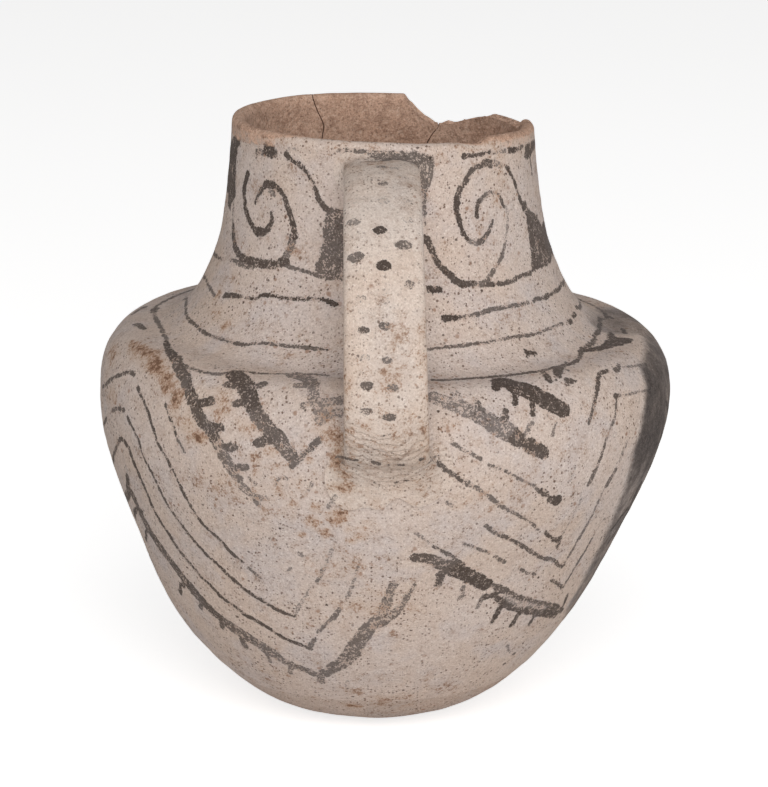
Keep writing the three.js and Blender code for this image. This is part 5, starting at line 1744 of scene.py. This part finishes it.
def clay_finish(name, plain, warm, cool, speckled, soiling):
    """Slip with soil, painted shade in the creases, painting and smoke over it, and bare clay where its skin
    ends.
    """
    material = bpy.data.materials.new(name)
    clay = Clay(cleared(material))
    soil = clay.math("MULTIPLY", clay.reading("soil"), soiling)
    ground, specks = slipped_skin(clay, plain, warm, cool, speckled, soil)
    ground = stained(clay, ground, soil)
    shaded_crease = creases(clay)
    # painted shade: the colour is darkened in the creases
    ground = clay.touched(ground, shaded_crease, 0.3, "shaded_crease")
    cover, pigment = paint_layer(clay, soil)
    ground = clay.mix(cover, ground, pigment)
    clouded, smoke = smoke_layer(clay)
    ground = clay.mix(clouded, ground, smoke)
    slipped = clay.remap(clay.swayed(clay.reading("skin"), middle=0.4, small=0.35, fine=0.2), 0.62, 0.76)
    relief = relief_of(clay, slipped, shaded_crease, specks, cover)
    shader = clay.node("ShaderNodeBsdfPrincipled", {
        "Base Color": clay.mix(slipped, bare_grain(clay), ground),
        "Roughness": clay.remap(cover, 0.0, 1.0, 0.92, 0.8),
        "Normal": clay.node("ShaderNodeBump", {"Height": relief, "Distance": MM, "Strength": 1.0}).outputs[0],
        "Specular IOR Level": 0.25,
    })
    output = clay.node("ShaderNodeOutputMaterial")
    clay.tree.links.new(shader.outputs[0], output.inputs[0])
    return material


FINISHES = {name: clay_finish(name, *slip) for name, slip in SLIPS.items()}


# The pieces

def place_piece(piece, node):
    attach(piece, "root")
    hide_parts(node)


def build_pot():
    tree = turned_clay_tree()
    foot_length = ring_reach("heel")
    belly_start = FOOT_REACH - (BELLY_COURSE_WIDTH + LAP) / 2
    belly_end = belly_start + BELLY_COURSE_WIDTH
    lower = (belly_start - foot_length) / LOWER_COURSES
    upper_names = ["shoulder_coil_1", "shoulder_coil_2", "neck_coil_1", "neck_coil_2", "neck_coil_3",
                   "rim_coil"]
    upper = (OUTLINE_LENGTH - belly_end) / len(upper_names)
    slipped, worn = FINISHES["painted_slip"], FINISHES["worn_slip"]

    turned = [(turn_section("base_pat", base_section(foot_length), tree, worn, BASE_COLUMNS), "worn_slip")]
    for i in range(LOWER_COURSES):
        finish = "worn_slip" if i == 0 else "painted_slip"
        section = course_section(foot_length + i * lower, foot_length + (i + 1) * lower)
        piece = turn_section(f"lower_wall_coil_{i + 1}", section, tree, FINISHES[finish], COLUMNS)
        turned.append((piece, finish))
    turned.append((turn_section("belly_coil", course_section(belly_start, belly_end), tree, slipped, COLUMNS),
                   "painted_slip"))
    for i, name in enumerate(upper_names):
        start = belly_end + i * upper
        section = rim_section(start) if name == "rim_coil" else course_section(start, start + upper)
        ends = {}
        if name in ("neck_coil_3", "rim_coil"):
            ends["first"] = crack_turn(LEFT_CRACK, -1, section, CRACK_GAP)
            ends["last"] = 360 + crack_turn(RIGHT_CRACK, 1, section, CRACK_GAP)
        piece = turn_section(name, section, tree, slipped, COLUMNS, **ends)
        turned.append((piece, "painted_slip"))
    section = rim_section(belly_end + 4 * upper)
    sherd = turn_section("rear_neck_sherd", section, tree, slipped, COLUMNS // 7,
                         first=crack_turn(RIGHT_CRACK, 1, section, 0.0),
                         last=crack_turn(LEFT_CRACK, -1, section, 0.0))
    turned.append((sherd, "painted_slip"))
    for piece, finish in turned:
        dress_turned(piece)
        place_piece(piece, piece["node"])


def build_handle():
    # the strap and its smears take the lighter copy of the slip, partly painted light
    strap = make_strap(swept_strap_tree(), FINISHES["strap_slip"])
    dress_strap(strap)
    place_piece(strap, "handle_strap")
    tree = worked_clay_tree()
    for name, shape in SMEARS.items():
        smear = smear_ring(name, tree, FINISHES["strap_slip"])
        dress_smear(smear, shape["soil"])
        place_piece(smear, name)
    pad = rivet_pad(tree, FINISHES["bare_clay"])
    dress_bare(pad)
    place_piece(pad, "handle_rivet_pad")


build_pot()
build_handle()


# Floor, light and camera

FLOOR_HALF = 6  # metres
FLOOR_GLOW = 0.7
WORLD_STRENGTH = 0.12
MIDDLE = (0, 0, 0.09)
LIGHTS = {  # place, size and power; each is aimed at the middle of the pot
    "key": ((0.1, -1.5, 1.2), 1.4, 17.9),
    "left_fill": ((-1.6, -1.0, 0.6), 1.4, 6.1),
    "right_fill": ((1.5, -1.0, 0.35), 1.4, 8.8),
    "front_fill": ((0.3, -1.8, 0.2), 0.9, 6.2),
}


def stage_floor():
    material = bpy.data.materials.new("pale_floor")
    nodes = Nodes(cleared(material))
    place = nodes.node("ShaderNodeTexCoord").outputs["Object"]
    shade = nodes.mix(nodes.noise(place, 300), tone(240, 239, 238), tone(244, 243, 242))
    diffuse = nodes.node("ShaderNodeBsdfDiffuse", {"Color": shade}).outputs[0]
    seen_by_camera = nodes.node("ShaderNodeLightPath").outputs["Is Camera Ray"]
    strength = nodes.math("MULTIPLY", seen_by_camera, FLOOR_GLOW)
    glow = nodes.node("ShaderNodeEmission", {"Color": (1, 1, 1, 1), "Strength": strength})
    both = nodes.node("ShaderNodeAddShader", {0: diffuse, 1: glow.outputs[0]}).outputs[0]
    output = nodes.node("ShaderNodeOutputMaterial")
    nodes.tree.links.new(both, output.inputs[0])
    corners = [(x * FLOOR_HALF, y * FLOOR_HALF, 0) for x, y in ((-1, -1), (1, -1), (1, 1), (-1, 1))]
    mesh = mesh_of("floor", corners, [(0, 1, 2, 3)])
    mesh.materials.append(material)
    link("floor", mesh)


def area_light(name, place, size, power):
    light = bpy.data.lights.new(name, "AREA")
    light.shape = "DISK"
    light.size = size
    light.energy = power
    lamp = bpy.data.objects.new(name, light)
    lamp.location = place
    away = (np.array(place) - np.array(MIDDLE)) / np.linalg.norm(np.array(place) - np.array(MIDDLE))
    lamp.rotation_euler = Euler((math.acos(away[2]), 0, math.atan2(away[1], away[0]) + math.pi / 2))
    bpy.context.scene.collection.objects.link(lamp)


def soft_world():
    """A weak light from all sides, which the camera and reflections see as plain white."""
    world = bpy.data.worlds.new("soft_world")
    bpy.context.scene.world = world
    nodes = Nodes(cleared(world))
    rays = nodes.node("ShaderNodeLightPath").outputs
    plain = nodes.math("MAXIMUM", rays["Is Camera Ray"], rays["Is Glossy Ray"])
    plain = nodes.math("MAXIMUM", plain, rays["Is Transmission Ray"])
    shown = nodes.math("MULTIPLY_ADD", plain, 1 - WORLD_STRENGTH, WORLD_STRENGTH)
    background = nodes.node("ShaderNodeBackground", {"Color": (1, 1, 1, 1), "Strength": shown}).outputs[0]
    output = nodes.node("ShaderNodeOutputWorld")
    nodes.tree.links.new(background, output.inputs[0])


stage_floor()
soft_world()
for light_name, (light_place, light_size, light_power) in LIGHTS.items():
    area_light(light_name, light_place, light_size, light_power)


def photo_camera():
    picture_width, focal_length, aside = 787, 3741.8, 11.2  # pixels; the width is the picture's long side
    camera = bpy.data.cameras.new("camera")
    camera.sensor_fit = "VERTICAL"
    camera.sensor_height = 36
    camera.lens = focal_length * camera.sensor_height / picture_width
    camera.shift_x = aside / picture_width
    camera.clip_end = 50
    seen_from = bpy.data.objects.new("camera", camera)
    seen_from.location = CAMERA_PLACE
    seen_from.rotation_euler = (math.radians(90 - CAMERA_PITCH), 0, 0)
    bpy.context.scene.collection.objects.link(seen_from)
    bpy.context.scene.camera = seen_from


photo_camera()
bpy.context.scene.view_settings.view_transform = "Standard"
